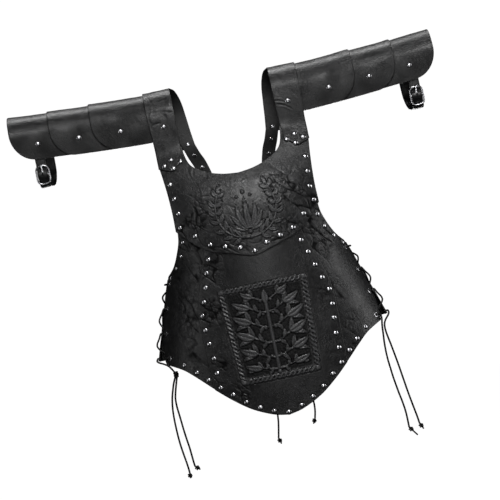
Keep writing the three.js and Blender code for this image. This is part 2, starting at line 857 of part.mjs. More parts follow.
function backStrapHeight({ x, y }) {
  const { z } = shoulderPoint(x, y);
  const inwards = THREE.MathUtils.smoothstep(-z, -BACK_STRAP_OUT, -BACK_STRAP_IN);
  return THREE.MathUtils.lerp(layer(2), layer(1), inwards);
}

function shoulderPlateGrid() {
  const columns = 2;
  const at = (edge, along) => lookup(edge, 'along', 'x', along);
  const between = (inner, outer) => evenly(columns).map((u) => THREE.MathUtils.lerp(inner, outer, u));
  const front = [...SHOULDER_PLATE_ROWS.slice(1), ...SHOULDER_FRONT_ROWS].reverse().map((along) => -along);
  const rows = [...front, ...SHOULDER_PLATE_ROWS, ...SHOULDER_BACK_ROWS].map((along) => (
    between(at(SHOULDER_INNER, along), at(SHOULDER_OUTER, along)).map((x) => new THREE.Vector2(x, along))));
  const corners = [SHOULDER_INNER[0], SHOULDER_OUTER[0]];
  const pointed = between(corners[0].x, corners[1].x).map((x) => {
    const corner = x < SHOULDER_POINT_X ? corners[0] : corners[1];
    const reach = (x - corner.x) / (SHOULDER_POINT_X - corner.x);
    return new THREE.Vector2(x, THREE.MathUtils.lerp(corner.along, SHOULDER_POINT_ALONG, reach));
  });
  return [pointed, ...rows];
}

function armPlateGrid({ inner, outer, z }) {
  const columns = [0, 0.3, 1];
  const top = (x) => SLEEVE_LIFT * ((x - SHOULDER_POINT) / SLEEVE_REACH) ** SLEEVE_BEND;
  const last = OVER_SHOULDER.at(-1);
  const edge = last.along + last.z - (z - top((inner + outer) / 2));
  const half = (sign, end) => {
    const rounded = evenly(PLATE_CORNER_STEPS).map((t) => (
      end - PLATE_CORNER_HIGH * (1 - Math.sin(t * Math.PI / 2))));
    const rows = [...PLATE_ROWS, ...rounded.filter((along) => along > PLATE_ROWS.at(-1) + PLATE_ROW_LEAST)];
    return rows.map((along) => {
      const down = Math.max(1 - (end - along) / PLATE_CORNER_HIGH, 0);
      const outerEnd = outer - PLATE_CORNER_LONG * (1 - Math.sqrt(1 - down ** 2));
      return columns.map((u) => new THREE.Vector2(THREE.MathUtils.lerp(inner, outerEnd, u), sign * along));
    });
  };
  return [...half(-1, edge).slice(1).reverse(), ...half(1, edge - PLATE_BACK_SHORT)];
}

function addShoulders() {
  const plate = leatherPanel(shoulderSurface, shoulderPlateGrid(), () => layer(3) + GAP);
  const backStrap = leatherPanel(shoulderSurface, backStrapGrid(), backStrapHeight);
  bothSides((side, sign) => {
    add(`shoulder_plate_${side}`, toSide(plate, sign), leather);
    add(`back_strap_${side}`, toSide(backStrap, sign), leather);
    ARM_PLATES.forEach((size) => {
      const geometry = leatherPanel(shoulderSurface, armPlateGrid(size), () => layer(3 - size.number));
      add(`arm_plate_${size.number}_${side}`, toSide(geometry, sign), leather);
    });
  });
}

// Arm straps and buckles

const LAID_IN = -3 * GAP - STRAP_THICK / 2;
const insidePlate = (x, alongs) => alongs.map((along) => (
  raised(shoulderSurface, new THREE.Vector2(x, along), LAID_IN)));
const upright = (x, rows) => rows.map(([y, z]) => new THREE.Vector3(x, y, z));

// Centre line of the strap that comes down from the plate, under the frame's ends and over its middle bar.
function buckleStrapPoints() {
  const behind = FRAME_Y + FRAME_WIRE + 3 * GAP + STRAP_THICK / 2;
  const over = FRAME_Y - BAR_RADIUS - 2 * GAP - 1.5 * STRAP_THICK;
  const rows = [
    [behind, FRAME_TOP + 2],
    [behind, FRAME_TOP],
    [behind - 0.3, FRAME_TOP - 2],
    [FRAME_Y + 1.2, FRAME_TOP - 5],
    [FRAME_Y - 2.4, FRAME_TOP - 9],
    [over + 0.6, BAR_Z + 3],
    [over, BAR_Z],
    [over + 0.6, BAR_Z - 3],
    [FRAME_Y - 2.2, BAR_Z - 8],
    [FRAME_Y + 1.2, FRAME_BOTTOM + 5.2],
    [behind - 0.3, FRAME_BOTTOM + 2],
    [behind, FRAME_BOTTOM],
    [behind + 1, FRAME_BOTTOM - 3.4],
  ];
  return [...insidePlate(BUCKLE_X, [-56, -67, -78, -89, -100]), ...upright(BUCKLE_X, rows)];
}

// Centre line of the strap that comes round the arm from the back and folds round the middle bar.
function armStrapPoints() {
  const under = FRAME_Y + FRAME_WIRE + 2 * GAP + 1.5 * STRAP_THICK;
  const loop = toPoints(table('x y z', [
    [341.3, 47, -98],
    [342.5, 40, -111],
    [344, 28, -121],
    [345.7, 14, -126.5],
    [347.3, 0, -129],
    [348.7, -14, -130],
    [349.6, -27, -130],
    [350, -36, -129.4],
    [350, -43, -127.6],
  ]));
  const turn = BAR_RADIUS + GAP + STRAP_THICK / 2;
  const fold = [0, 45, 90, 135, 180, 225].map((degrees) => {
    const angle = THREE.MathUtils.degToRad(degrees);
    return [FRAME_Y + turn * Math.cos(angle), BAR_Z + turn * Math.sin(angle)];
  });
  const rows = [
    [under + 0.4, FRAME_BOTTOM + 1],
    [under, FRAME_BOTTOM + 5],
    [under - 0.7, BAR_Z - 7.5],
    ...fold,
    [FRAME_Y - 0.1, BAR_Z - 5.5],
  ];
  return [...insidePlate(STRAP_BACK_X, [56, 67, 78, 89, 100]), ...loop, ...upright(BUCKLE_X, rows)];
}

const slot = ([low, high]) => (
  new THREE.BoxGeometry(2 * PRONG_ROOM, high.y - low.y, high.z - low.z)
    .translate(BUCKLE_X, FRAME_Y + (low.y + high.y) / 2, BAR_Z + (low.z + high.z) / 2));

function buckleFrame() {
  const outline = new THREE.CurvePath();
  const [halfWidth, halfHeight] = [FRAME_WIDTH / 2, (FRAME_TOP - FRAME_BOTTOM) / 2];
  const corners = [[1, 1], [-1, 1], [-1, -1], [1, -1]];
  const steps = 4;
  const ring = corners.flatMap(([sx, sz], corner) => evenly(steps).map((t) => {
    const angle = (corner + t) * Math.PI / 2;
    return new THREE.Vector3(
      BUCKLE_X + sx * (halfWidth - FRAME_CORNER) + FRAME_CORNER * Math.cos(angle),
      FRAME_Y,
      (FRAME_TOP + FRAME_BOTTOM) / 2 + sz * (halfHeight - FRAME_CORNER) + FRAME_CORNER * Math.sin(angle),
    );
  }));
  const path = new Route(ring, true, 'catmullrom', 0);
  const frame = toSolid(new THREE.TubeGeometry(path, ring.length, FRAME_WIRE, 6, true));
  const end = (sign) => new THREE.Vector3(BUCKLE_X + sign * halfWidth, FRAME_Y, BAR_Z);
  return toGeometry(frame.add(toSolid(pin(end(-1), end(1), BAR_RADIUS, 0))));
}

function prong() {
  const rest = FRAME_Y - FRAME_WIRE - GAP - PRONG_RADIUS;
  const points = upright(BUCKLE_X, [
    [FRAME_Y - BAR_RADIUS - GAP - PRONG_RADIUS, BAR_Z],
    [FRAME_Y - 5.4, BAR_Z + 1.6],
    [FRAME_Y - 7, BAR_Z + 4.6],
    [FRAME_Y - 5.6, BAR_Z + 10],
    [rest, FRAME_TOP],
    [rest, FRAME_TOP + 2],
  ]);
  return tube(new Route(points), points.length - 1, PRONG_RADIUS, 6);
}

function addBuckles() {
  const shapes = {
    buckle_strap: [cut(strap(buckleStrapPoints()), [slot(STRAP_HOLE)]), leather],
    arm_strap: [cut(strap(armStrapPoints()), [slot(FOLD_SLOT)]), leather],
    buckle_frame: [buckleFrame(), chrome],
    buckle_prong: [prong(), chrome],
  };
  bothSides((side, sign) => Object.entries(shapes).forEach(([name, [geometry, material]]) => {
    add(`${name}_${side}`, toSide(geometry, sign), material);
  }));
}

addYoke();
addCentreFront();
addSidesAndBack();
addLacing();
addTails();
addShoulders();
addBuckles();

export default vest;
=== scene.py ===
import math

import bpy
import numpy as np
from mathutils import Matrix, Vector, noise


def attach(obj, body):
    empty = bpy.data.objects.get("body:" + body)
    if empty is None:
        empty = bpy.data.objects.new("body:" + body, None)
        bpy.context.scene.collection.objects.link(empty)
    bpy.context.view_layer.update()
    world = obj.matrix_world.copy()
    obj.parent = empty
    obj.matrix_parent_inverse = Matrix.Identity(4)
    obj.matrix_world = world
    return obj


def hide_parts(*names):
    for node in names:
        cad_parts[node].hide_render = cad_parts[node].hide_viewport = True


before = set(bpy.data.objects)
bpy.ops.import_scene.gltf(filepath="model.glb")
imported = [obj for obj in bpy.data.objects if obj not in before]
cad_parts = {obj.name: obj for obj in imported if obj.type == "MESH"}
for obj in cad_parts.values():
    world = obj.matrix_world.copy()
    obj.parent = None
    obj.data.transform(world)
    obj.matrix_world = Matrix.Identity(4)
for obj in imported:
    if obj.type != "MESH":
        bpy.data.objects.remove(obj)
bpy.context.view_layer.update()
MM = 0.001

# A laced leather costume vest with shingled arm plates. Tables are in millimetres, +Z up, front facing -Y.


def linked(name, data):
    obj = bpy.data.objects.new(name, data)
    bpy.context.scene.collection.objects.link(obj)
    return obj


# Camera, in metres, turned about its own line of sight so that the vest leans as in the photograph

CAMERA_X, CAMERA_Y, CAMERA_Z = -0.008, -4.0, -0.322
CAMERA_TURN = math.radians(12)
camera_data = bpy.data.cameras.new("camera")
camera_data.sensor_width = 36.0
camera_data.lens = 155.17
camera_data.clip_end = 60.0
camera = linked("camera", camera_data)
turn_cos, turn_sin = math.cos(CAMERA_TURN), math.sin(CAMERA_TURN)
camera.matrix_world = Matrix((
    (turn_cos, turn_sin, 0, CAMERA_X), (0, 0, -1, CAMERA_Y), (-turn_sin, turn_cos, 0, CAMERA_Z), (0, 0, 0, 1)
))
bpy.context.scene.camera = camera


# Sizes

LEATHER = 2.5
GAP = 0.3
LACE = 3.0
LACE_TWIST = 4.2
EYELET_HOLE = 3.9
SIDES = (("left", -1), ("right", 1))


def layer(number):
    return number * (LEATHER + GAP)


def rows(*values):
    return np.array(values, float)


# Columns: z, half width, front, back
BODY = rows(
    (-94, 236, 54, 52), (-120, 232, 61.5, 60), (-145, 226.5, 71, 68.5), (-172, 217, 84, 77.5),
    (-205, 203, 100, 88), (-250, 185, 113, 97.5), (-300, 170.5, 119, 102.5), (-325, 166.5, 121, 103),
    (-340, 168, 122, 102.5), (-360, 174.6, 122.8, 102), (-400, 187.2, 124, 101), (-450, 203, 126, 102),
    (-500, 218.7, 127.4, 104), (-560, 237.6, 127, 106), (-626, 258, 123, 108),
)
# Columns: distance along the leather from the top, depth, z
OVER_SHOULDER = rows(
    (0, 0, -8.5), (17.3, 17, -11.8), (35.2, 32, -21.6), (54.9, 42, -38.5), (77.2, 46, -60.5), (110.7, 47, -94),
)
BLEND_TOP, BLEND_BOTTOM = -94, -150
SHOULDER_POINT, SLEEVE_REACH, SLEEVE_LIFT = 143, 255, 17
SLEEVE_BEND, SLEEVE_GROWTH, SLEEVE_MIDDLE = 1.3, 0.1, -60

# Outlines of the front. Columns: x, z
STRAP_TOP, STRAP_TOP_INNER, STRAP_TOP_OUTER = -112, 91.5, 139.5
NECKLINE = rows((90.5, -120.7), (87, -139), (80.5, -152), (68, -163), (50, -172.3), (25.5, -180), (0, -183.3))
ARMHOLE = rows((138, -142), (135, -165), (131, -200), (129, -231), (129, -262))
YOKE_HEM = rows((129, -262), (104, -289), (79, -309.5), (53, -318.5), (28, -327), (12, -332), (0, -333.3))
CENTRE_TOP = rows((84, -284), (42, -299), (0, -306))
CENTRE_SIDE = rows(
    (84, -284), (92, -318), (103, -350), (111, -373), (118, -398), (122.5, -425), (122.5, -470), (121, -556)
)
HEM = rows((0, -626), (27, -620), (63, -603), (94.5, -579.5), (121, -556), (150, -528.5), (171, -511))
SIDE_OVERLAP, SIDE_HEM_INNER = 23, 98
SIDE_TOP = rows((70, -290), (128, -245))
SIDE_ARMHOLE = rows((128, -245), (129, -262), (133, -286), (147.5, -320))
# Columns: z, degrees round the body
FRONT_LACED_EDGE = rows((-340, 77), (-400, 78), (-450, 75), (-497, 66))
BACK_LACED_EDGE = rows((-345, 97), (-490, 92))
BACK_TOP_MIDDLE, BACK_TOP_SIDE, BACK_HEM_MIDDLE, BACK_HEM_SIDE = -312, -345, -500, -490
BACK_HALF_GAP, BACK_STRAP_WIDTH = 9, 24
BACK_STRAP = rows(
    (88, -85), (81, -105), (73.5, -129), (63.5, -153), (55, -190), (48, -235), (44, -280), (42, -345)
)
BACK_STRAP_OUT, BACK_STRAP_IN = -130, -290
# Columns: distance along from the top, x
SHOULDER_INNER = rows(
    (-158.5, 93.8), (-110.7, 92), (-53, 91.5), (0, 91.5), (19, 84), (44, 77), (72, 73.5), (98, 71), (131.7, 67)
)
SHOULDER_OUTER = rows(
    (-164, 138.4), (-110.7, 141), (-53, 143.6), (0, 143.6), (19, 143), (52, 138), (79, 128), (108, 120),
    (131.7, 111),
)
SHOULDER_POINT_X, SHOULDER_POINT_ALONG, SHOULDER_SQUARE = 117, -173, -149
# Columns: number, inner end, outer end, z of the lower edge
ARM_PLATES = ((1, 104, 247, -92.2), (2, 181, 324, -87.5), (3, 258, 398, -80.5))
PLATE_BACK_SHORT, PLATE_CORNER_LONG, PLATE_CORNER_HIGH = 8, 42, 48

# The turn of a lace through an eyelet. Columns: distance from the eyelet, height
EYELET_TURN = ((3, -2.4), (0.3, -1.5), (-0.6, LEATHER / 2), (0.3, LEATHER + 1.3), (3, LEATHER + 2.3))
OVER_EDGE, UNDER_EDGE, EDGE_CROSSING = LEATHER + LACE / 2 + 0.7, -LACE / 2 - 0.7, 0.16
LEFT_LACE_FRONT_END = rows(
    (199.8, -56.4, -488), (199, -61, -493.5), (196.6, -63.3, -499.5), (192.8, -61, -506), (189.8, -57.2, -510.9)
)
LEFT_LACE_BACK_END = rows(
    (219.2, 8.2, -487), (219.3, 0, -489), (215.5, -14, -491.5), (208.5, -29, -494), (201.5, -41, -497.5),
    (195.7, -47.5, -502.5), (191.4, -51.4, -509.4), (190.5, -52.3, -511.8),
)
GATHER_KNOT = (-187.7, -55, -516.3)

# Free lace ends: stub below the knot, then the route from the lacing down to the knot
TAILS = {
    "left_outer": ((-0.5, 0, -10), rows(
        (-190.3, -54.6, -521.2), (-193.4, -54.3, -527.5), (-196.4, -54, -534.5), (-198.9, -53.8, -542),
        (-201.8, -53.5, -551), (-204.2, -53.2, -560.5), (-206.4, -52.9, -573), (-207.8, -52.6, -588),
        (-208.2, -52.3, -606), (-207.9, -52, -624.5), (-207.2, -51.8, -639), (-206, -51.6, -652),
        (-204.2, -51.4, -666), (-202.4, -51.2, -679.5), (-201.2, -51.1, -691), (-200.8, -51, -698.5))),
    "left_inner": ((8.5, -1, -7.5), rows(
        (-187, -56.5, -521.7), (-188.8, -57.2, -527), (-191, -57.6, -534), (-193.5, -57.8, -542),
        (-196, -57.8, -551), (-198, -57.6, -561), (-198.3, -57.3, -575), (-197, -57, -591.5),
        (-196, -56.7, -605), (-195, -56.4, -619), (-193.3, -56.1, -636), (-191.4, -55.8, -652),
        (-190.4, -55.5, -666), (-189.5, -55.3, -679.5), (-188.6, -55.2, -688.5))),
    "right_inner": ((12.5, -2, -17), rows(
        (197.7, -57.1, -484.9), (198.8, -56.3, -484.8), (200.2, -55.6, -485.6), (201.4, -55.4, -487.8),
        (202, -56.2, -491.5), (201.5, -57.4, -496.5), (200.4, -57.8, -503), (199.4, -57.2, -511),
        (198.6, -56.4, -523), (197.4, -55.6, -537), (196.9, -55, -551), (197, -54.5, -565),
        (197.9, -54, -579), (200.4, -53.5, -605.5), (204.2, -53, -633), (207.4, -52.6, -652),
        (209.4, -52.3, -669), (209.9, -52, -684), (209.8, -52, -700))),
    "right_outer": ((5.5, -1, -11.5), rows(
        (217.95, 10.9, -484.55), (218.8, 9.7, -484.5), (219.6, 7.9, -485), (220.1, 5.2, -486.5),
        (219.8, 1.2, -489), (217.4, -5.4, -492.8), (213, -13, -497), (208.6, -20, -502),
        (206, -25.5, -509), (205.6, -29, -518), (207, -31, -530), (209.6, -32, -545),
        (214.8, -33, -580), (218.6, -33.4, -610), (222, -33.8, -637), (225.4, -34, -660),
        (229.2, -34.2, -684), (231, -34.3, -698.5))),
    "back_left": ((3.5, 0, -11.5), rows(
        (-15.75, 108.1, -485.8), (-14.4, 108.6, -485.8), (-13.2, 109.1, -486.7), (-12.3, 109.6, -489),
        (-12, 109.9, -493), (-12.2, 109.8, -498), (-12.5, 109.5, -504.5), (-13, 109, -513),
        (-14, 108.5, -525), (-15.4, 108, -541), (-17, 107.5, -560), (-18.4, 107, -580),
        (-19.8, 106.6, -603), (-21, 106.3, -630), (-22.6, 106.1, -650), (-25.4, 106, -666),
        (-29.2, 106, -684))),
    "back_right": ((-5, 0, -10), rows(
        (15.75, 108.1, -485.8), (14.4, 108.6, -485.8), (13.3, 109.1, -486.7), (12.9, 109.6, -489),
        (13.3, 109.9, -493), (14.6, 109.8, -498.4), (16.4, 109.5, -504.5), (18.6, 109.2, -512),
        (22.4, 108.7, -524), (27.6, 108.1, -540), (33.4, 107.6, -558), (39.2, 107.2, -577),
        (44.6, 106.8, -597), (48.8, 106.4, -615), (50.6, 106.2, -630), (49.8, 106, -646),
        (46.6, 106, -661))),
}
STRAP_WIDTH, STRAP_THICK = 19, 2.3
BUCKLE_X, STRAP_BACK_X = 350, 340.5
FRAME_Y, FRAME_TOP, FRAME_BOTTOM = -52.4, -92.6, -125.4
FRAME_WIDTH, FRAME_WIRE, FRAME_CORNER = 23.4, 1.6, 8.5
BAR_Z, BAR_RADIUS, PRONG_RADIUS = -108, 1.2, 1.1

# Rivets. Columns: x, z, on both sides unless x is 0
YOKE_RIVETS = rows(
    (124.4, -177.6), (121.7, -204.7), (119, -231.8), (120.8, -257), (97.4, -277.8), (74, -298.6), (48.7, -307.6),
    (23.4, -314.9), (0, -325.7),
)
CENTRE_RIVETS = rows(
    (83.9, -323.8), (92, -347.3), (99.2, -372.5), (107.3, -397.8), (115.4, -421.2), (115.4, -448.3),
    (113.6, -473.5), (110.9, -500.6), (110.9, -527.7), (110, -554.7), (91, -571), (70.3, -589), (47.8, -603.4),
    (25.2, -614.2), (0, -621.5),
)
SIDE_RIVETS = rows(
    (124.4, -284), (132.5, -307.6), (146, -327.4), (160.5, -343.6), (129.8, -536.7), (147.8, -519.6), (167.7, -502.4)
)
POINT_RIVETS = rows((127.8, -143.6), (114, -135), (98.4, -142.4), (112, -151))
# Columns: x, z, height of the face that the cap lies on
PLATE_RIVETS = (
    (116, -69.5, layer(3) + GAP + LEATHER), (195, -61, layer(2) + LEATHER), (272, -56, layer(1) + LEATHER),
    (348, -51.5, layer(0) + LEATHER),
)
BACK_STRAP_RIVETS = (-105, -129, -153, -177, -201, -225, -249, -273, -297, -322, -338)


# Smooth lines and surfaces


def lookup(table, key, column, place):
    """Smooth value of one column at a place along another."""
    k, c = table[:, key], table[:, column]
    way = np.sign(k[-1] - k[0])
    place = np.asarray(place, float)
    last = len(k) - 1
    i = np.clip(np.searchsorted(way * k, way * place, side="left") - 1, 0, last - 1)

    def tangent(j):
        low, high = np.maximum(j - 1, 0), np.minimum(j + 1, last)
        return (c[high] - c[low]) / (k[high] - k[low])

    span = k[i + 1] - k[i]
    t = (place - k[i]) / span
    start, end, rise = tangent(i) * span, tangent(i + 1) * span, c[i + 1] - c[i]
    inside = c[i] + t * (start + t * (3 * rise - 2 * start - end + t * (start + end - 2 * rise)))
    before = c[i] + tangent(i) * (place - k[i])
    after = c[i + 1] + tangent(i + 1) * (place - k[i + 1])
    return np.where(t < 0, before, np.where(t > 1, after, inside))


def smooth_line(points, at):
    """Places along a smooth line through the points, at fractions of its length or at so many even steps."""
    p = np.asarray(points, float)
    n = len(p)
    dense = []
    t = np.linspace(0, 1, 32, endpoint=False)[:, None]
    for i in range(n - 1):
        p0, p1, p2, p3 = p[max(i - 1, 0)], p[i], p[i + 1], p[min(i + 2, n - 1)]
        v0, v1 = (p2 - p0) / 2, (p3 - p1) / 2
        dense.append((2 * p1 - 2 * p2 + v0 + v1) * t**3 + (3 * p2 - 3 * p1 - 2 * v0 - v1) * t**2 + v0 * t + p1)
    dense = np.concatenate([*dense, p[-1:]])
    run = np.concatenate([[0], np.cumsum(np.linalg.norm(np.diff(dense, axis=0), axis=1))])
    at = (np.linspace(0, 1, at) if isinstance(at, int) else at) * run[-1]
    return np.stack([np.interp(at, run, dense[:, k]) for k in range(p.shape[1])], -1)


def line_length(points):
    return float(np.linalg.norm(np.diff(smooth_line(points, 400), axis=0), axis=1).sum())


def smoothstep(x, low, high):
    t = np.clip((x - low) / (high - low), 0, 1)
    return t * t * (3 - 2 * t)


def angle_at(x, z):
    return np.arcsin(np.clip(x / lookup(BODY, 0, 1, z), -1, 1))


def body_point(angle, z):
    cosine = np.cos(angle)
    trunk = np.where(cosine > 0, lookup(BODY, 0, 2, z), lookup(BODY, 0, 3, z)) * np.abs(cosine)
    depth = OVER_SHOULDER[-1, 1] + (trunk - OVER_SHOULDER[-1, 1]) * smoothstep(-z, -BLEND_TOP, -BLEND_BOTTOM)
    x = lookup(BODY, 0, 1, z) * np.sin(angle)
    return np.stack([x, -np.sign(cosine) * depth, z * np.ones_like(x)], -1)


def shoulder_point(x, along):
    last = OVER_SHOULDER[-1]
    run = np.abs(along)
    below = last[2] + last[0] - np.maximum(run, last[0])
    front_angle = angle_at(x, below)
    on_body = body_point(np.where(along < 0, front_angle, math.pi - front_angle), below)
    arm = (np.maximum(x - SHOULDER_POINT, 0) / SLEEVE_REACH) ** SLEEVE_BEND
    depth = lookup(OVER_SHOULDER, 0, 1, run) * (1 + SLEEVE_GROWTH * arm)
    z = lookup(OVER_SHOULDER, 0, 2, run) + SLEEVE_LIFT * arm
    over = np.stack([x * np.ones_like(z), np.sign(along) * depth, z], -1)
    return np.where((run > last[0])[..., None], on_body, over)


def raise_frame(surface, places):
    """Points and outward unit normals of a surface at places."""
    a, b = places[..., 0], places[..., 1]
    on_trunk = surface is body_point
    side = 0.005 if on_trunk else 0.5
    across = surface(a + side, b) - surface(a - side, b)
    down = surface(a, b + 0.5) - surface(a, b - 0.5)
    normal = np.cross(across, down)
    normal /= np.linalg.norm(normal, axis=-1, keepdims=True)
    here = surface(a, b)
    middle = np.zeros_like(here)
    if on_trunk:
        middle[..., 2] = here[..., 2]
    else:
        middle[..., 0], middle[..., 2] = here[..., 0], SLEEVE_MIDDLE
    flip = np.sum(normal * (here - middle), -1, keepdims=True) < 0
    return here, np.where(flip, -normal, normal)


def patch(top, bottom, start, end, u, v):
    """A grid of places between four edges."""
    u, v = u[None, :, None], v[:, None, None]
    corners = (1 - v) * ((1 - u) * top[0] + u * top[-1]) + v * ((1 - u) * bottom[0] + u * bottom[-1])
    return (1 - v) * top[None] + v * bottom[None] + (1 - u) * start[:, None] + u * end[:, None] - corners


def on_body(line):
    """Places round the body of a line of (x, z)."""
    return np.stack([angle_at(line[:, 0], line[:, 1]), line[:, 1]], -1)


def fractions(length, step):
    """Fractions along a side of that length, with extra ones close to both ends for the rounded edge."""
    near = np.array([0, 0.15, 0.5, 1.1]) / length
    count = max(4, int(round(length * (1 - 2 * near[-1]) / step)))
    return np.concatenate([near[:-1], np.linspace(near[-1], 1 - near[-1], count + 1), 1 - near[:-1][::-1]])


# Folds and creases of worn leather, the same in every run

noise.seed_set(7)


def noise_at(points, scale, offset=0.0):
    q = points.reshape(-1, 3) / scale + offset
    return np.array([noise.noise(p) for p in q]).reshape(points.shape[:-1])


def crease_at(points, scale, width, offset=0.0):
    """1 along a broken web of creases, 0 between them."""
    q = points.reshape(-1, 3) / scale + offset
    out = np.empty(len(q))
    for n, p in enumerate(q):
        w = noise.noise_vector(p * 0.9)
        d = noise.voronoi((p[0] + 0.55 * w[0], p[1] + 0.55 * w[1], p[2] + 0.55 * w[2]))[0]
        out[n] = d[1] - d[0]
    return np.exp(-((out / width) ** 2)).reshape(points.shape[:-1])


# Creases run longer along one diagonal than across it
CREASE_LEAN = np.array(((0.8, 0, 0.33), (0, 0.9, 0), (0.33, 0, 0.8)))


def sway(points):
    """Slow rise and fall shared by every layer, so that the layers stay apart."""
    return 0.55 * noise_at(points, 55, 3.1) + 0.3 * noise_at(points, 24, 7.7)


def wrinkles(points, strength):
    """Pulled and crushed leather: height, how deep in a crease, and how far the leather is pulled pale."""
    cloud = np.clip(0.62 + 1.5 * noise_at(points, 48, 11.3), 0, 1) * strength
    leaning = points @ CREASE_LEAN
    fine = noise_at(points, 5.5, 2.2) + 0.6 * noise_at(points, 3.2, 5.2)
    long = crease_at(leaning, 25, 0.066, 4.4) * np.clip(0.9 + 1.3 * noise_at(points, 17, 2.9), 0.3, 1)
    short = crease_at(points, 11.5, 0.095, 9.1) * np.clip(0.5 + 2.2 * noise_at(points, 19, 8.8), 0, 1)
    puff = noise_at(leaning, 12, 6.6) + 0.45 * noise_at(points, 6.5, 1.4)
    height = cloud * (0.18 * fine + 0.75 * puff - 1.15 * long - 0.8 * short)
    line = np.clip(cloud * (0.95 * long + 0.75 * short), 0, 1)
    pull = np.clip(cloud * (0.55 + 1.4 * puff), 0, 1) * (1 - line)
    return height, line, pull


# Meshes

SHARP_ANGLE = {"leather": 55, "lace": 80, "nickel": 40}
# Round a cell that is cut out: the cell on each side, and the two ends of the line between them
HOLE_SIDES = (
    ((-1, 0), (0, 1), (0, 0)), ((1, 0), (1, 0), (1, 1)), ((0, -1), (0, 0), (1, 0)), ((0, 1), (1, 1), (0, 1))
)


def new_piece(name, points, faces, slot, stands_for=True):
    """A visible piece, which stands for the solid of its name."""
    title = f"{name}_visual" if stands_for else name
    mesh = bpy.data.meshes.new(title)
    mesh.from_pydata((np.asarray(points) * MM).tolist(), [], faces)
    mesh.validate()
    mesh.update()
    mesh.shade_smooth()
    mesh.set_sharp_from_angle(angle=math.radians(SHARP_ANGLE[slot]))
    obj = linked(title, mesh)
    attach(obj, "root")
    if slot != "nickel":
        face_outwards(mesh)
    if stands_for:
        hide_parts(name)
    mesh.materials.append(MATERIALS[slot])
    return obj


def face_outwards(mesh):
    """Turns every face round if the closed mesh's signed volume is negative."""
    mesh.calc_loop_triangles()
    co = np.empty(len(mesh.vertices) * 3)
    mesh.vertices.foreach_get("co", co)
    tri = np.empty(len(mesh.loop_triangles) * 3, int)
    mesh.loop_triangles.foreach_get("vertices", tri)
    a, b, c = co.reshape(-1, 3)[tri.reshape(-1, 3)].transpose(1, 0, 2)
    if np.einsum("ij,ij->", a, np.cross(b, c)) < 0:
        mesh.flip_normals()


def paint(obj, **layers):
    """Attributes for the material, each with its values on the outer and the inner face."""
    for name, parts in layers.items():
        values = np.concatenate([np.ravel(part) for part in parts]).astype(np.float32)
        obj.data.attributes.new(name, "FLOAT", "POINT").data.foreach_set("value", values)


def closed_shell(inner, outer, gone=None):
    """Points and faces of a wall between two grids, and which places its inner face keeps.

    A wall with no cells gone keeps every third line inside, and all of them close to its edges.
    """
    high, wide = outer.shape[:2]
    step = 3 if gone is None else 1
    jj, ii = (np.unique([0, 1, 2, 3, n - 4, n - 3, n - 2, n - 1, *range(3, n - 3, step)]) for n in (high, wide))
    pick = np.ix_(jj, ii)
    points = np.concatenate([outer.reshape(-1, 3), inner[pick].reshape(-1, 3)])
    o = np.arange(high * wide).reshape(high, wide)
    s = high * wide + np.arange(len(jj) * len(ii)).reshape(len(jj), len(ii))

    def quads(ids, order):
        cells = np.stack([ids[:-1, :-1], ids[:-1, 1:], ids[1:, 1:], ids[1:, :-1]], -1)
        return (cells if gone is None else cells[~gone]).reshape(-1, 4)[:, order].tolist()

    faces = quads(o, [0, 1, 2, 3]) + quads(s, [0, 3, 2, 1])
    if gone is not None:
        beside = np.pad(gone, 1)
        for j, i in np.argwhere(gone):
            for (dj, di), (aj, ai), (bj, bi) in HOLE_SIDES:
                if not beside[j + 1 + dj, i + 1 + di]:
                    a, b = (j + aj, i + ai), (j + bj, i + bi)
                    faces.append([o[a], o[b], s[b], s[a]])
    for kept, outside, inside, way in (
        (ii, o[0], s[0], 1), (ii, o[-1], s[-1], -1), (jj, o[:, 0], s[:, 0], -1), (jj, o[:, -1], s[:, -1], 1)
    ):
        for k in range(len(kept) - 1):
            faces.append([*inside[k:k + 2][::way], *outside[kept[k]:kept[k + 1] + 1][::-way]])
    return points, [[int(k) for k in face] for face in faces], pick


def edge_distance(points):
    """Rough distance of each grid point from the grid's edge."""
    def run(axis):
        step = np.linalg.norm(np.diff(points, axis=axis), axis=-1)
        total = np.pad(np.cumsum(step, axis=axis), [(int(axis == k), 0) for k in (0, 1)])
        return np.minimum(total, total.take([-1], axis=axis) - total)
    return np.minimum(run(0), run(1))


def rounded_drop(distance, radius):
    d = np.clip(distance, 0, radius)
    return radius - np.sqrt(np.maximum(radius**2 - (radius - d) ** 2, 0))


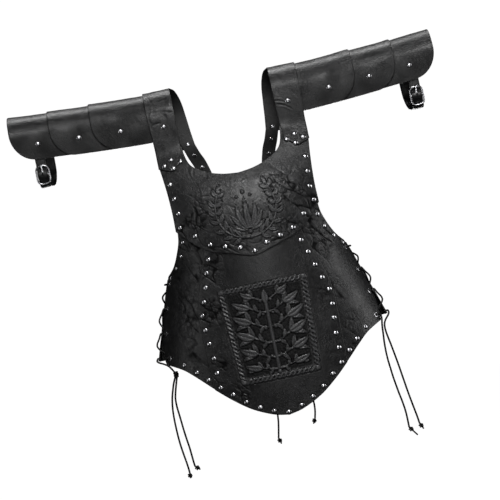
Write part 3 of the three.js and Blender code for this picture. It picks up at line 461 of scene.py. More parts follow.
def leather_piece(
    node, surface, grid, height, relief=None, strength=0.6, sign=1, holes=(), seats=(), extra=None, dull=0.0
):
    """One leather piece: a closed wall with rounded edges, creases, embossing and pressed-in rivet seats."""
    base, normal = (part * (sign, 1, 1) for part in raise_frame(surface, grid))
    rim = edge_distance(base)
    level = height(grid) if callable(height) else np.full(rim.shape, float(height))
    force = strength(base) if callable(strength) else strength
    crush, line, pull = wrinkles(base, force * smoothstep(rim, 0, 6))
    raise_by, worn = np.zeros((2, *rim.shape))
    if relief:
        # The relief's burnish is also a painted highlight: raised embossing is drawn lighter, as if it caught the
        # light.
        raise_by, worn, matted = relief(base)
        calm = 1 - 0.85 * np.clip(np.abs(raise_by) / 0.15, 0, 1)
        crush, line, pull = crush * calm, line * calm, pull * calm
        # Painted shade: crease lines, embossing grooves and the matted ground go into the pressed mask, which draws
        # them darker, rougher and less glossy.
        line = np.maximum.reduce([line, np.clip(-raise_by / GROOVE, 0, 1), 0.45 * matted])
    if extra:
        crush = crush + extra(base)
    face = base + normal * (level + LEATHER)[..., None]
    for here, way, top in seats:
        gap = np.linalg.norm(face - (here + way * top), axis=-1)
        ring = 0.12 * np.exp(-(((gap - 7.5) / 2) ** 2))
        crush = crush * smoothstep(gap, 3, 9) - 0.4 * np.exp(-((gap / 6.0) ** 2)) + ring
    level = level + sway(base)
    outer = base + normal * (level + LEATHER + crush + raise_by - rounded_drop(rim, 1.1))[..., None]
    inner = base + normal * (level + 0.5 * crush + rounded_drop(rim, 0.6))[..., None]
    gone = None
    if len(holes):
        centre = (base[:-1, :-1] + base[1:, 1:]) / 2
        gone = np.any([np.linalg.norm(centre - place, axis=-1) < EYELET_HOLE for place in holes], axis=0)
    points, faces, pick = closed_shell(inner, outer, gone)
    obj = new_piece(node, points, [face[::sign] for face in faces], "leather")
    # Painted shade: dull darkens the front faces of the plates below the top fold, and also makes them rougher and
    # less glossy.
    arm_front_shade = dull * smoothstep(-base[..., 2], 20, 36) * (0.85 + 0.5 * noise_at(base, 30, 4.9))
    none = np.zeros_like(rim[pick])
    paint(obj, rim=(rim, rim[pick]), worn=(worn, none), flesh=(0 * rim, none + 1),
          pressed=(np.maximum(line, arm_front_shade), none), pull=(pull, none))


def tube(line, radius, sides=12, twist=None, closed=False):
    """Points and faces of a tube round a line. With twist, plies wind round it once in that distance."""
    line = np.asarray(line, float)
    n = len(line)
    tangent = np.roll(line, -1, 0) - np.roll(line, 1, 0) if closed else np.gradient(line, axis=0)
    tangent /= np.linalg.norm(tangent, axis=1, keepdims=True)
    frames = []
    side = np.cross(tangent[0], (0, 0, 1.0) if abs(tangent[0][2]) < 0.9 else (1.0, 0, 0))
    for t in tangent:
        side = side - t * side.dot(t)
        side /= np.linalg.norm(side)
        frames.append((side, np.cross(t, side)))
    frames = np.array(frames)
    run = np.concatenate([[0], np.cumsum(np.linalg.norm(np.diff(line, axis=0), axis=1))])
    angle = np.arange(sides) * 2 * math.pi / sides
    radius = np.broadcast_to(np.asarray(radius, float), (n,))[:, None] * np.ones(sides)
    if twist:
        ply = np.abs(np.cos(1.5 * (angle[None] - 2 * math.pi * run[:, None] / twist)))
        radius = radius * (0.93 + 0.11 * ply)
    around = np.cos(angle)[None, :, None] * frames[:, None, 0] + np.sin(angle)[None, :, None] * frames[:, None, 1]
    points = (line[:, None] + radius[..., None] * around).reshape(-1, 3)
    ids = np.arange(n * sides).reshape(n, sides)
    caps = [] if closed else [ids[0][::-1].tolist(), ids[-1].tolist()]
    ids = np.concatenate([ids, ids[:1]]) if closed else ids
    after = np.roll(ids, -1, 1)
    return points, np.stack([ids[:-1], after[:-1], after[1:], ids[1:]], -1).reshape(-1, 4).tolist() + caps


def joined(parts):
    """Several lots of points and faces as one."""
    points, faces, start = [], [], 0
    for p, f in parts:
        points.append(p)
        faces += [[k + start for k in face] for face in f]
        start += len(p)
    return np.concatenate(points), faces


def lathe(profile, sides=20):
    """Points and faces of a turned shape round +Z, from (radius, height) rows."""
    points, faces, rings = [], [], []
    for radius, height in profile:
        if radius == 0:
            rings.append([len(points)])
            points.append((0, 0, height))
        else:
            rings.append(list(range(len(points), len(points) + sides)))
            for k in range(sides):
                angle = 2 * math.pi * k / sides
                points.append((radius * math.cos(angle), radius * math.sin(angle), height))
    for a, b in zip(rings, rings[1:]):
        for k in range(sides):
            face = [a[k % len(a)], a[(k + 1) % len(a)], b[(k + 1) % len(b)], b[k % len(b)]]
            faces.append(list(dict.fromkeys(face)))
    return np.array(points, float), faces


def put(shape, place, axis, spin=0.0):
    """A turned shape moved so that its +Z points along axis at place."""
    points, faces = shape
    axis = np.asarray(axis, float) / np.linalg.norm(axis)
    side = np.cross(axis, (0.3, 0.2, 1.0) if abs(axis[2]) < 0.9 else (1.0, 0.1, 0))
    side /= np.linalg.norm(side)
    other = np.cross(axis, side)
    c, s = math.cos(spin), math.sin(spin)
    basis = np.stack([c * side + s * other, c * other - s * side, axis])
    return points @ basis + np.asarray(place), faces


# Materials


class Nodes:
    """Short ways to build a node tree. Each way takes numbers, colours or sockets and returns a socket."""

    def __init__(self, name):
        self.material = bpy.data.materials.new(name)
        self.material.use_nodes = True
        self.tree = self.material.node_tree
        self.place = self.add("TexCoord", {}, "Object")

    def feed(self, node, inputs):
        for key, value in inputs.items():
            if isinstance(value, bpy.types.NodeSocket):
                self.tree.links.new(value, node.inputs[key])
            elif value is not None:
                node.inputs[key].default_value = value

    def add(self, kind, inputs, output=0, **settings):
        node = self.tree.nodes.new("ShaderNode" + kind)
        for key, value in settings.items():
            setattr(node, key, value)
        self.feed(node, inputs)
        return node.outputs[output]

    def noise(self, scale, detail=4.0, rough=0.5, distortion=0.0, vector=None, output="Fac"):
        return self.add("TexNoise", {
            "Scale": scale, "Detail": detail, "Roughness": rough, "Distortion": distortion,
            "Vector": vector or self.place}, output)

    def voronoi(self, scale, feature="F1", vector=None):
        return self.add(
            "TexVoronoi", {"Scale": scale, "Vector": vector or self.place}, "Distance", feature=feature)

    def math(self, operation, a, b=None, clamp=False):
        return self.add("Math", {0: a, 1: b}, operation=operation, use_clamp=clamp)

    def times(self, a, b):
        return self.math("MULTIPLY", a, b)

    def plus(self, a, b, clamp=False):
        return self.math("ADD", a, b, clamp)

    def between(self, value, low, high, new_low=0.0, new_high=1.0):
        return self.add(
            "MapRange", {0: value, 1: low, 2: high, 3: new_low, 4: new_high}, interpolation_type="SMOOTHSTEP")

    def mix(self, factor, a, b):
        a, b = ((*value, 1) if isinstance(value, tuple) else value for value in (a, b))
        return self.add("Mix", {0: factor, 6: a, 7: b}, 2, data_type="RGBA")

    def attribute(self, name):
        return self.add("Attribute", {}, "Fac", attribute_name=name)

    def bump(self, height, distance, strength, normal=None):
        return self.add("Bump", {"Strength": strength, "Distance": distance, "Height": height, "Normal": normal})

    def finish(self, color, roughness, normal, **others):
        inputs = {"Base Color": color, "Roughness": roughness, "Normal": normal}
        inputs.update((key.replace("_", " "), value) for key, value in others.items())
        self.feed(self.tree.nodes["Principled BSDF"], inputs)
        return self.material


def leather_material():
    n = Nodes("leather")
    rim, worn, flesh, pressed, pull = map(n.attribute, ("rim", "worn", "flesh", "pressed", "pull"))
    warped = n.add(
        "VectorMath", {0: n.noise(45, 2, output="Color"), 1: (0.012, 0.012, 0.012), 2: n.place},
        operation="MULTIPLY_ADD")
    cloud = n.noise(17, 3, 0.55)
    patches = n.noise(60, 6, 0.62, 1.2)
    creases = n.math("ABSOLUTE", n.math("SUBTRACT", n.noise(150, 5, 0.6, 1.6, warped), 0.5))
    web = n.voronoi(190, "DISTANCE_TO_EDGE", warped)
    crackle = n.times(n.between(web, 0.0, 0.09, 1, 0), n.between(cloud, 0.42, 0.62))
    grey = n.times(n.between(patches, 0.45, 0.72), n.between(cloud, 0.35, 0.65, 0.25, 1))
    pulled = n.times(pull, n.between(patches, 0.3, 0.65, 0.45, 1))
    # Random grey patches and pulled-pale leather, with the painted highlight of raised embossing mixed in.
    rubbed_and_highlight = n.plus(n.plus(n.times(worn, 0.9), n.times(grey, 0.3), True), n.times(pulled, 0.4), True)
    color = n.mix(rubbed_and_highlight, (0.0085, 0.0085, 0.009), (0.045, 0.045, 0.047))
    # Painted highlight: raised embossing is drawn lighter still, as if it caught the light.
    color = n.mix(n.times(n.math("POWER", worn, 2.0), 0.6), color, (0.11, 0.11, 0.114))
    # Painted shade: creases, embossing grooves, matted ground, strap edge grooves and the arm plates' front faces are
    # drawn near black.
    color = n.mix(pressed, color, (0.003, 0.003, 0.0031))
    color = n.mix(n.times(n.between(rim, 0.3, 1.8, 1, 0), 0.55), color, (0.006, 0.0055, 0.0055))
    color = n.mix(flesh, color, n.mix(n.noise(420, 5, 0.7), (0.02, 0.02, 0.02), (0.05, 0.05, 0.05)))
    rough = n.plus(n.between(patches, 0.3, 0.75, 0.31, 0.46), n.times(crackle, 0.12))
    for share, change in ((worn, -0.12), (pulled, -0.06), (pressed, 0.25)):
        rough = n.plus(rough, n.times(share, change))
    rough = n.plus(rough, n.times(flesh, 0.18), True)
    lines = n.bump(n.times(crackle, -1.0), 0.0005, 0.5, n.bump(creases, 0.0011, 0.6))
    pebbles = n.plus(n.voronoi(1100, "F1", warped), n.times(n.noise(2600, 3, 0.6), 0.6))
    return n.finish(
        color, rough, n.bump(pebbles, 0.00016, 0.55, lines), Coat_Roughness=0.28,
        Specular_IOR_Level=n.between(pressed, 0.05, 0.9, 0.5, 0.12),
        Coat_Weight=n.between(pressed, 0.05, 0.6, 0.14, 0.01))


def lace_material():
    n = Nodes("lace")
    fibres = n.noise(900, 5, 0.65)
    color = n.mix(n.between(fibres, 0.35, 0.7), (0.0022, 0.0022, 0.0022), (0.008, 0.008, 0.008))
    rough = n.between(n.noise(130, 3), 0.3, 0.7, 0.5, 0.72)
    normal = n.bump(fibres, 0.00025, 0.6, n.bump(n.voronoi(1500), 0.00015, 0.5))
    return n.finish(color, rough, normal, Specular_IOR_Level=0.3)


def nickel_material():
    n = Nodes("nickel")
    dull = n.noise(260, 4, 0.6)
    scratches = n.noise(1900, 2, 0.5, 3.0)
    color = n.mix(n.between(dull, 0.35, 0.75), (0.70, 0.70, 0.72), (0.50, 0.50, 0.53))
    rough = n.plus(n.between(dull, 0.3, 0.8, 0.215, 0.3), n.times(scratches, 0.05))
    normal = n.bump(scratches, 0.00004, 0.35, n.bump(dull, 0.0002, 0.25))
    return n.finish(color, rough, normal, Metallic=1.0)


MATERIALS = {"leather": leather_material(), "lace": lace_material(), "nickel": nickel_material()}


# Cords: the free lace ends, each with its knot


def twisted(line, radius, sides=12):
    return tube(line, radius, sides, LACE_TWIST)


def knot_shape(end, stub):
    """The lace wound tightly round itself, and the stub that stands out below."""
    direction = np.asarray(stub, float)
    length = np.linalg.norm(direction)
    direction /= length
    side = np.cross(direction, (0.0, 1.0, 0.0))
    side /= np.linalg.norm(side)
    other = np.cross(direction, side)
    t = np.linspace(0, 1, 110)
    angle = 2 * math.pi * 2.1 * t
    tuck = np.minimum(smoothstep(t, 0, 0.12), smoothstep(1 - t, 0, 0.12))
    reach = 0.5 + 2.6 * tuck * (0.8 + 0.2 * np.sin(math.pi * t))
    wound = min(length - 2.2, 7.2)
    coil = (
        np.asarray(end)
        + direction * (1.2 + wound * t + 0.7 * np.sin(angle))[:, None]
        + side * (reach * np.cos(angle))[:, None]
        + other * (reach * np.sin(angle))[:, None]
    )
    core = np.asarray(end) + direction * np.linspace(-0.4, length, 24)[:, None]
    ends = np.full(24, 1.45)
    ends[-1] = 1.2
    return joined([twisted(coil, 1.5), twisted(core, ends)])


def add_tails():
    for name, (stub, route) in TAILS.items():
        length = line_length(route)
        line = smooth_line(route, int(length / 0.8))
        knot = new_piece(f"knot_{name}", *knot_shape(line[-1], stub), "lace")
        tail = new_piece(f"tail_{name}", *twisted(line, LACE / 2 + 0.25), "lace")


add_tails()


# Embossing on the front: traditional leaf and plait work

RELIEF = 1.8
GROOVE = 0.9


def segment_distance(p, line):
    """Distance of each place from a line, and how far along the line its nearest point is."""
    best = np.full(len(p), 1e9)
    run = np.zeros(len(p))
    total = 0.0
    for a, b in zip(line[:-1], line[1:]):
        ab = b - a
        size = np.linalg.norm(ab)
        t = np.clip(((p - a) @ ab) / size**2, 0, 1)
        d = np.linalg.norm(p - a - t[:, None] * ab, axis=1)
        nearer = d < best
        best[nearer] = d[nearer]
        run[nearer] = total + t[nearer] * size
        total += size
    return best, run, total


class Relief:
    """Raised work on a panel: its height, its burnish with a painted highlight on the raised forms, and a groove
    pressed round each form.
    """

    def __init__(self, base):
        self.base = base
        self.places = base[..., [0, 2]].reshape(-1, 2)
        self.height, self.relief_burnish_and_highlight = np.zeros((2, len(self.places)))

    def near(self, line, half_width):
        """Which places lie near a line, with how far off and how far along it each lies, and its length."""
        low, high = line.min(0) - half_width - 4, line.max(0) + half_width + 4
        pick = np.flatnonzero(((self.places > low) & (self.places < high)).all(1))
        return pick, *segment_distance(self.places[pick], line)

    def lay(self, pick, inside, height):
        """Lays one form over what is there already. inside is the distance in from its edge."""
        covered = inside > 0
        press = np.exp(-((np.minimum(inside, 0) / 0.9) ** 2))
        here = self.height[pick]
        below = np.where(here > 0, here * (1 - 0.9 * press), np.minimum(here, -GROOVE * press))
        self.height[pick] = np.where(covered, height, below)
        # Painted highlight: the higher a form stands, the lighter it is drawn; its roughness drops too, as real
        # burnish.
        ridge_highlight = np.clip(height / RELIEF, 0, 1) ** 2
        self.relief_burnish_and_highlight[pick] = np.where(covered, ridge_highlight, self.relief_burnish_and_highlight[pick] * (1 - press))

    def leaf(self, base, tip, bend, half_width):
        base, tip = np.asarray(base, float), np.asarray(tip, float)
        across = np.array([base[1] - tip[1], tip[0] - base[0]])
        middle = (base + tip) / 2 + across * bend
        t = np.linspace(0, 1, 14)[:, None]
        pick, d, run, total = self.near((1 - t) ** 2 * base + 2 * t * (1 - t) * middle + t**2 * tip, half_width)
        t = run / total
        inside = half_width * np.sin(math.pi * t**0.8) ** 0.75 - d
        dome = np.sqrt(np.clip(1 - (1 - np.clip(inside / 2.2, 0, 1)) ** 2, 0, 1))
        rib = 0.5 * np.exp(-((d / 0.8) ** 2)) * (t > 0.08) * (t < 0.95)
        veins = 0.14 * np.cos(2 * math.pi * (run + 0.8 * d) / 4.2)
        self.lay(pick, inside, RELIEF * dome * (0.85 + veins - rib))

    def strand(self, line, half_width, lift=0.0):
        pick, d, _, _ = self.near(line, half_width)
        dome = np.sqrt(np.clip(1 - (d / half_width) ** 2, 0, 1))
        self.lay(pick, half_width - d, RELIEF * 0.9 * dome + lift)

    def bead(self, x, z, radius):
        d = np.linalg.norm(self.places - (x, z), axis=1)
        pick = np.flatnonzero(d < radius + 4)
        d = d[pick]
        self.lay(pick, radius - d, RELIEF * np.sqrt(np.clip(1 - (d / radius) ** 2, 0, 1)))

    def plait(self, *ends, swing=3.3, pitch=17, half_width=2.1):
        """Two strands that wind over and under each other from one end to the other."""
        line = rows(*ends)
        count = max(1, round(line_length(line) / pitch))
        t = np.linspace(0, 1, count * 16 + 1)
        middle = smooth_line(line, t)
        way = np.gradient(middle, axis=0)
        way /= np.linalg.norm(way, axis=1, keepdims=True)
        out = np.stack([-way[:, 1], way[:, 0]], -1) * (swing * np.sin(2 * math.pi * count * t))[:, None]
        strands = middle + out, middle - out
        for strand in strands:
            self.strand(strand, half_width)
        # Each crossing is laid again with the strand that goes over there
        for crossing in range(2 * count + 1):
            low, high = max(crossing * 8 - 3, 0), min(crossing * 8 + 4, len(t))
            self.strand(strands[crossing % 2][low:high], half_width, 0.12)

    def result(self, ground=0.0):
        """Height, burnish with a painted highlight, and the matted ground between the forms, which is pressed down
        into small pits.
        """
        height, relief_burnish_and_highlight = (part.reshape(self.base.shape[:2]) for part in (self.height, self.relief_burnish_and_highlight))
        ground = ground * (height <= 0)
        pits = 0.5 + 0.5 * np.clip(2.2 * noise_at(self.base, 1.9, 6.1), -1, 1)
        return height - ground * (0.35 + 0.4 * pits), relief_burnish_and_highlight, ground


def yoke_relief(base):
    """Two leafy sprigs that rise from a tied stem, with a fan of leaves between them."""
    r = Relief(base)
    for side in (1, -1):
        stem = smooth_line(rows((3, -300), (22, -296), (42, -281), (52, -258), (52, -234), (44, -213)), 40)
        stem = stem * (side, 1)
        r.strand(stem, 1.7)
        for t in np.linspace(0.14, 0.95, 7):
            k = int(t * 39)
            way = stem[min(k + 1, 39)] - stem[max(k - 1, 0)]
            way /= np.linalg.norm(way)
            out = np.array([-way[1], way[0]])
            size = 21 - 5 * t
            for hand in (1, -1):
                tip = stem[k] + way * size * 0.74 + out * hand * size * 0.68
                r.leaf(stem[k] + out * hand * 1.2, tip, 0.16 * hand, 4.1)
        r.leaf(stem[-1], stem[-1] + (side * -5, 16), 0.1 * side, 3.9)
    for side in (1, -1):
        for degrees, size in ((66, 32), (42, 42), (19, 50)):
            angle = math.radians(degrees)
            tip = (side * size * math.sin(angle), -286 + size * math.cos(angle))
            r.leaf((side * 2, -285), tip, -0.16 * side, 5.0)
    r.leaf((0, -286), (0, -228), 0.0, 5.4)
    for x, z, size in ((0, -219, 3.4), (-12, -226, 2.6), (12, -226, 2.6), (0, -290, 4.2), (0, -300, 3.4)):
        r.bead(x, z, size)
    return r.result()


def centre_relief(base):
    """A plaited frame round a tall plant with paired leaves."""
    r = Relief(base)
    top, bottom, wide, narrow = -388, -554, 75, 67
    r.plait((-wide, top), (wide, top))
    r.plait((-narrow, bottom), (narrow, bottom))
    for side in (1, -1):
        r.plait((side * wide, top), (side * narrow, bottom))
        r.bead(side * wide, top, 5)
        r.bead(side * narrow, bottom, 5)
    for side in (1, -1):
        for z, reach, rise, size in (
            (-541, 58, 15, 6.2), (-520, 62, 26, 7.0), (-493, 64, 30, 7.4), (-465, 64, 30, 7.2), (-438, 60, 28, 6.8),
            (-416, 42, 20, 5.6),
        ):
            half = side * reach
            stem = smooth_line([(0, z), (half * 0.25, z + rise * 0.15), (half * 0.5, z + rise * 0.45)], 10)
            r.strand(stem, 1.7)
            start = stem[-1]
            if reach > 50:
                r.leaf(stem[5], stem[5] + (side * 4, 15), -0.2 * side, size * 0.52)
                r.leaf(stem[3], stem[3] + (side * 9, -12), 0.2 * side, size * 0.5)
            r.leaf(start, (half * 0.97, z + rise * 0.12), 0.16 * side, size * 0.72)
            r.leaf(start, (half * 0.6, z + rise * 1.3), -0.12 * side, size * 0.66)
            r.leaf(start, (half, z + rise), -0.14 * side, size)
        for z in (-527, -503, -477, -451, -427):
            r.bead(side * 9, z + 11, 2.6)
    r.strand(smooth_line([(0, -545), (0, -480), (0, -412)], 24), 2.6)
    r.leaf((0, -422), (0, -396), 0, 6.2)
    r.bead(0, -546, 4.2)
    x, z = np.abs(base[..., 0]), base[..., 2]
    edge = wide + (narrow - wide) * (z - top) / (bottom - top) - 6
    ground = smoothstep(edge - x, 0, 2.5) * smoothstep(top - 6 - z, 0, 2.5) * smoothstep(z - bottom - 6, 0, 2.5)
    return r.result(ground)


# Seats of the rivets: point and normal of the surface, and height of the face that the cap lies on


def seats_at(surface, place, height, sides=(1, -1)):
    here, normal = raise_frame(surface, np.array(place, float))
    return [(here * (side, 1, 1), normal * (side, 1, 1), height) for side in sides]


def on_front(table, height):
    return [
        seat for x, z in table
        for seat in seats_at(body_point, (float(angle_at(x, z)), z), height, (1, -1) if x else (1,))
    ]


def along_at(z):
    """Distance along the leather from the top of the shoulder to a height."""
    last = OVER_SHOULDER[-1]
    return np.where(z < last[2], last[0] + last[2] - z, lookup(OVER_SHOULDER, 2, 0, np.maximum(z, last[2])))


def sleeve_lift(x):
    return SLEEVE_LIFT * (max(x - SHOULDER_POINT, 0) / SLEEVE_REACH) ** SLEEVE_BEND


def on_shoulder(x, z, height, ways):
    """Seats on the shoulders and arms: ways holds -1 for the front and 1 for the back."""
    along = float(along_at(z - sleeve_lift(x)))
    return [seat for way in ways for seat in seats_at(shoulder_point, (x, way * along), height)]


YOKE_SEATS = on_front(YOKE_RIVETS, layer(2) + LEATHER)
CENTRE_SEATS = on_front(CENTRE_RIVETS, layer(1) + LEATHER)
SIDE_SEATS = on_front(SIDE_RIVETS, layer(0) + LEATHER)
POINT_SEATS = [seat for x, z in POINT_RIVETS for seat in on_shoulder(x, z, layer(3) + GAP + LEATHER, (-1,))]
PLATE_SEATS = [on_shoulder(*row, (-1, 1)) for row in PLATE_RIVETS]


# Front panels


def whole(half, u):
    """A half outline, from the outer end to the middle, as places on the whole front for u from 0 to 1."""
    return on_body(half(1 - np.abs(2 * u - 1)) * np.stack([np.where(u < 0.5, -1, 1), np.ones(len(u))], -1))


def front_patch(top_half, bottom_half, side_line, u, v):
    side = on_body(smooth_line(side_line, v))
    return patch(whole(top_half, u), whole(bottom_half, u), side * (-1, 1), side, u, v)


# How crushed the leather is from place to place


def crushed_yoke(base):
    across = 0.45 + 0.55 * smoothstep(np.abs(base[..., 0]), 20, 60)
    return 0.25 + 0.95 * smoothstep(-base[..., 2], 188, 222) * across


def crushed_centre(base):
    x = base[..., 0]
    return 0.15 + 1.05 * smoothstep(-x, 48, 78) + 0.35 * smoothstep(x, 78, 98)


def crushed_side(base):
    down = 0.55 + 0.45 * smoothstep(base[..., 2], -450, -330)
    return 0.2 + (1 - smoothstep(np.abs(base[..., 0]), 138, 172)) * down


def add_yoke():
    corner, outer = np.array([STRAP_TOP_INNER, STRAP_TOP]), np.array([STRAP_TOP_OUTER, STRAP_TOP])
    strap_share = 0.25

    def top(h):
        neck = smooth_line([corner, *NECKLINE], np.clip((h - strap_share) / (1 - strap_share), 0, 1))
        strap = outer + (corner - outer) * np.clip(h / strap_share, 0, 1)[:, None]
        return np.where(h[:, None] < strap_share, strap, neck)

    u, v = fractions(290, 1.45), fractions(150, 1.45)
    grid = front_patch(top, lambda h: smooth_line(YOKE_HEM, h), [outer, *ARMHOLE], u, v)
    leather_piece(
        "yoke_front", body_point, grid, layer(2), yoke_relief, crushed_yoke, seats=YOKE_SEATS)


def add_centre_front():
    u, v = fractions(250, 1.4), fractions(320, 1.4)
    grid = front_patch(
        lambda h: smooth_line(CENTRE_TOP, h), lambda h: smooth_line(HEM[4::-1], h), CENTRE_SIDE, u, v)
    leather_piece(
        "centre_front", body_point, grid, layer(1), centre_relief, crushed_centre, seats=CENTRE_SEATS)


# Laced gaps: the angles of their two edges by height, how far in the eyelets lie, their heights and crossings

SIDE_GAP = {
    "edges": [lambda z, edge=edge: np.radians(lookup(edge, 0, 1, z)) for edge in (FRONT_LACED_EDGE, BACK_LACED_EDGE)],
    "inset": 11, "rows": (-354, -398, -442, -486), "crossings": ((5.5, -3.4), (7, 0.8), (0.5, 7)),
}
BACK_GAP = {
    "edges": [lambda z, way=way: math.pi + way * angle_at(BACK_HALF_GAP, z) for way in (-1, 1)],
    "inset": 10, "rows": (-336, -386, -436, -486), "crossings": ((0.5, -3.4), (5, 0.8), (0.5, 5)),
}


def laced_edge(gap, edge, top, bottom, t):
    z = top + (bottom - top) * t
    return np.stack([gap["edges"][edge](z), z], -1)


def side_front_grid(u, v):
    edge = laced_edge(SIDE_GAP, 0, FRONT_LACED_EDGE[0, 0], FRONT_LACED_EDGE[-1, 0], v)
    top_corner, low_corner = ((float(body_point(angle, z)[0]), z) for angle, z in edge[[0, -1]])
    hem_start = (SIDE_HEM_INNER, float(lookup(HEM, 0, 1, SIDE_HEM_INNER)))
    inner = smooth_line([SIDE_TOP[0], *CENTRE_SIDE[1:-1] - (SIDE_OVERLAP, 0), hem_start], v)
    split = 0.4
    first = smooth_line(SIDE_TOP, np.clip(u / split, 0, 1))
    second = smooth_line([*SIDE_ARMHOLE, top_corner], np.clip((u - split) / (1 - split), 0, 1))
    top = on_body(np.where((u < split)[:, None], first, second))
    hem = smooth_line([hem_start, *HEM[HEM[:, 0] > SIDE_HEM_INNER], low_corner], u)
    return patch(top, on_body(hem), on_body(inner), edge, u, v)


def back_grid(u, v):
    side = laced_edge(SIDE_GAP, 1, BACK_TOP_SIDE, BACK_HEM_SIDE, v)
    middle = laced_edge(BACK_GAP, 0, BACK_TOP_MIDDLE, BACK_HEM_MIDDLE, v)
    top, bottom = (side[k] + (middle[k] - side[k]) * u[:, None] for k in (0, -1))
    return patch(top, bottom, side, middle, u, v)


def gap_angle(gap, edge, distance, z):
    first, second = (float(angle(z)) for angle in gap["edges"])
    width = np.linalg.norm(body_point(first, z) - body_point(second, z))
    start, way = (first, 1) if edge == 0 else (second, -1)
    return start + way * (second - first) * distance / width


def gap_place(gap, edge, distance, z, height):
    here, normal = raise_frame(body_point, np.array([gap_angle(gap, edge, distance, z), z]))
    return here + normal * height


def half_gap(gap, z, height=0):
    return np.linalg.norm(gap_place(gap, 0, 0, z, height) - gap_place(gap, 1, 0, z, height)) / 2


def through_eyelet(gap, edge, row):
    z = gap["rows"][row]
    return [gap_place(gap, edge, distance - gap["inset"], z, height) for distance, height in EYELET_TURN]


def strand(gap, start_edge):
    """One end of a lace, from its top eyelet down across the gap and back, through one eyelet after another."""
    points = through_eyelet(gap, start_edge, 0)[::-1]
    begin = start_edge
    for row, crossing in enumerate(gap["crossings"]):
        top, bottom = gap["rows"][row:row + 2]
        upper, middle, lower = (top + (bottom - top) * t for t in (EDGE_CROSSING, 0.5, 1 - EDGE_CROSSING))
        end = 1 - begin
        points += [
            gap_place(gap, begin, 0, upper, OVER_EDGE if row else UNDER_EDGE),
            gap_place(gap, begin, half_gap(gap, middle), middle, crossing[start_edge]),
            gap_place(gap, end, 0, lower, UNDER_EDGE), *through_eyelet(gap, end, row + 1)]
        begin = end
    return points


def lacing_points(gap):
    z = gap["rows"][0]
    bar = [gap_place(gap, edge, 0, z, OVER_EDGE) for edge in (0, 1)]
    middle = gap_place(gap, 0, half_gap(gap, z, OVER_EDGE), z, OVER_EDGE - 1)
    return np.array([*strand(gap, 0)[::-1], bar[0], middle, bar[1], *strand(gap, 1)])


def add_lacing():
    side = lacing_points(SIDE_GAP)
    gathered = np.concatenate([LEFT_LACE_BACK_END[::-1], side, LEFT_LACE_FRONT_END]) * (-1, 1, 1)
    for name, points in (
        ("side_lacing_left", gathered), ("side_lacing_right", side), ("back_lacing", lacing_points(BACK_GAP)),
    ):
        line = smooth_line(points, int(line_length(points) / 0.9))
        new_piece(name, *twisted(line, LACE / 2 + 0.15), "lace")
    # The gather knot is a ball of crossing turns
    t = np.linspace(0, 2 * math.pi, 260)
    reach = 3.6 * (0.7 + 0.3 * np.cos(3 * t))
    wind = np.stack([reach * np.cos(5 * t), reach * np.sin(5 * t), 4.3 * np.sin(3 * t) - 0.4], -1)
    new_piece("knot_left_gather", *twisted(GATHER_KNOT + wind, 1.6, 10), "lace")


EYELET = lathe([
    (2.75, -1.6), (3.0, -1.9), (4.4, -1.95), (5.2, -1.6), (5.3, -1.25), (3.3, -1.2), (3.3, 1.2), (5.3, 1.25),
    (5.2, 1.7), (4.4, 2.05), (3.2, 2.0), (2.75, 1.6), (2.75, -1.6),
], 28)


def eyelet_places(gap, edge):
    return [(gap_angle(gap, edge, -gap["inset"], z), z) for z in gap["rows"]]


def add_sides_and_back():
    side_grid = side_front_grid(fractions(118, 1.6), fractions(250, 1.6))
    rear_grid = back_grid(fractions(250, 2.0), fractions(180, 2.0))
    edges = [eyelet_places(*edge) for edge in ((SIDE_GAP, 0), (SIDE_GAP, 1), (BACK_GAP, 0))]
    for side, sign in SIDES:
        front, rear, middle = ([body_point(*np.array(place)) * (sign, 1, 1) for place in edge] for edge in edges)
        leather_piece(
            f"side_front_{side}", body_point, side_grid, layer(0), None, crushed_side, sign, front,
            SIDE_SEATS)
        leather_piece(
            f"back_{side}", body_point, rear_grid, layer(0), None, 0.6, sign, rear + middle)
    seats = [seat for edge in edges for place in edge for seat in seats_at(body_point, place, LEATHER / 2)]
    rings = [put(EYELET, here + way * (height + float(sway(here[None])[0])), way) for here, way, height in seats]
    new_piece("eyelets", *joined(rings), "nickel", False)


# Straps and plates over the shoulders


def back_strap_height(grid):
    z = shoulder_point(grid[..., 0], grid[..., 1])[..., 2]
    return layer(2) + (layer(1) - layer(2)) * smoothstep(-z, -BACK_STRAP_OUT, -BACK_STRAP_IN)


def back_strap_grid(u, v):
    middle = smooth_line(BACK_STRAP, v)
    way = np.gradient(middle, axis=0)
    way /= np.linalg.norm(way, axis=1, keepdims=True)
    side = np.stack([-way[:, 1], way[:, 0]], -1) * BACK_STRAP_WIDTH / 2
    place = middle[:, None] + side[:, None] * (2 * u[None, :, None] - 1)
    return np.stack([place[..., 0], along_at(place[..., 1])], -1)


def shoulder_plate_grid(u, v):
    (inner_along, inner_x), (outer_along, outer_x) = SHOULDER_INNER[0], SHOULDER_OUTER[0]
    tip_share = 0.08
    tip_x = inner_x + (outer_x - inner_x) * u[None]
    tip = np.interp(tip_x, (inner_x, SHOULDER_POINT_X, outer_x), (inner_along, SHOULDER_POINT_ALONG, outer_along))
    w = np.clip(v / tip_share, 0, 1)[:, None]
    rest = np.clip((v - tip_share) / (1 - tip_share), 0, 1)[:, None]
    straight = SHOULDER_SQUARE + (SHOULDER_INNER[-1, 0] - SHOULDER_SQUARE) * rest
    in_tip = v[:, None] < tip_share
    along = np.where(in_tip, tip + (SHOULDER_SQUARE - tip) * w, straight)
    inner, outer = lookup(SHOULDER_INNER, 0, 1, along), lookup(SHOULDER_OUTER, 0, 1, along)
    square = inner + (outer - inner) * u[None]
    return np.stack([np.where(in_tip, tip_x + (square - tip_x) * w, square), along], -1)


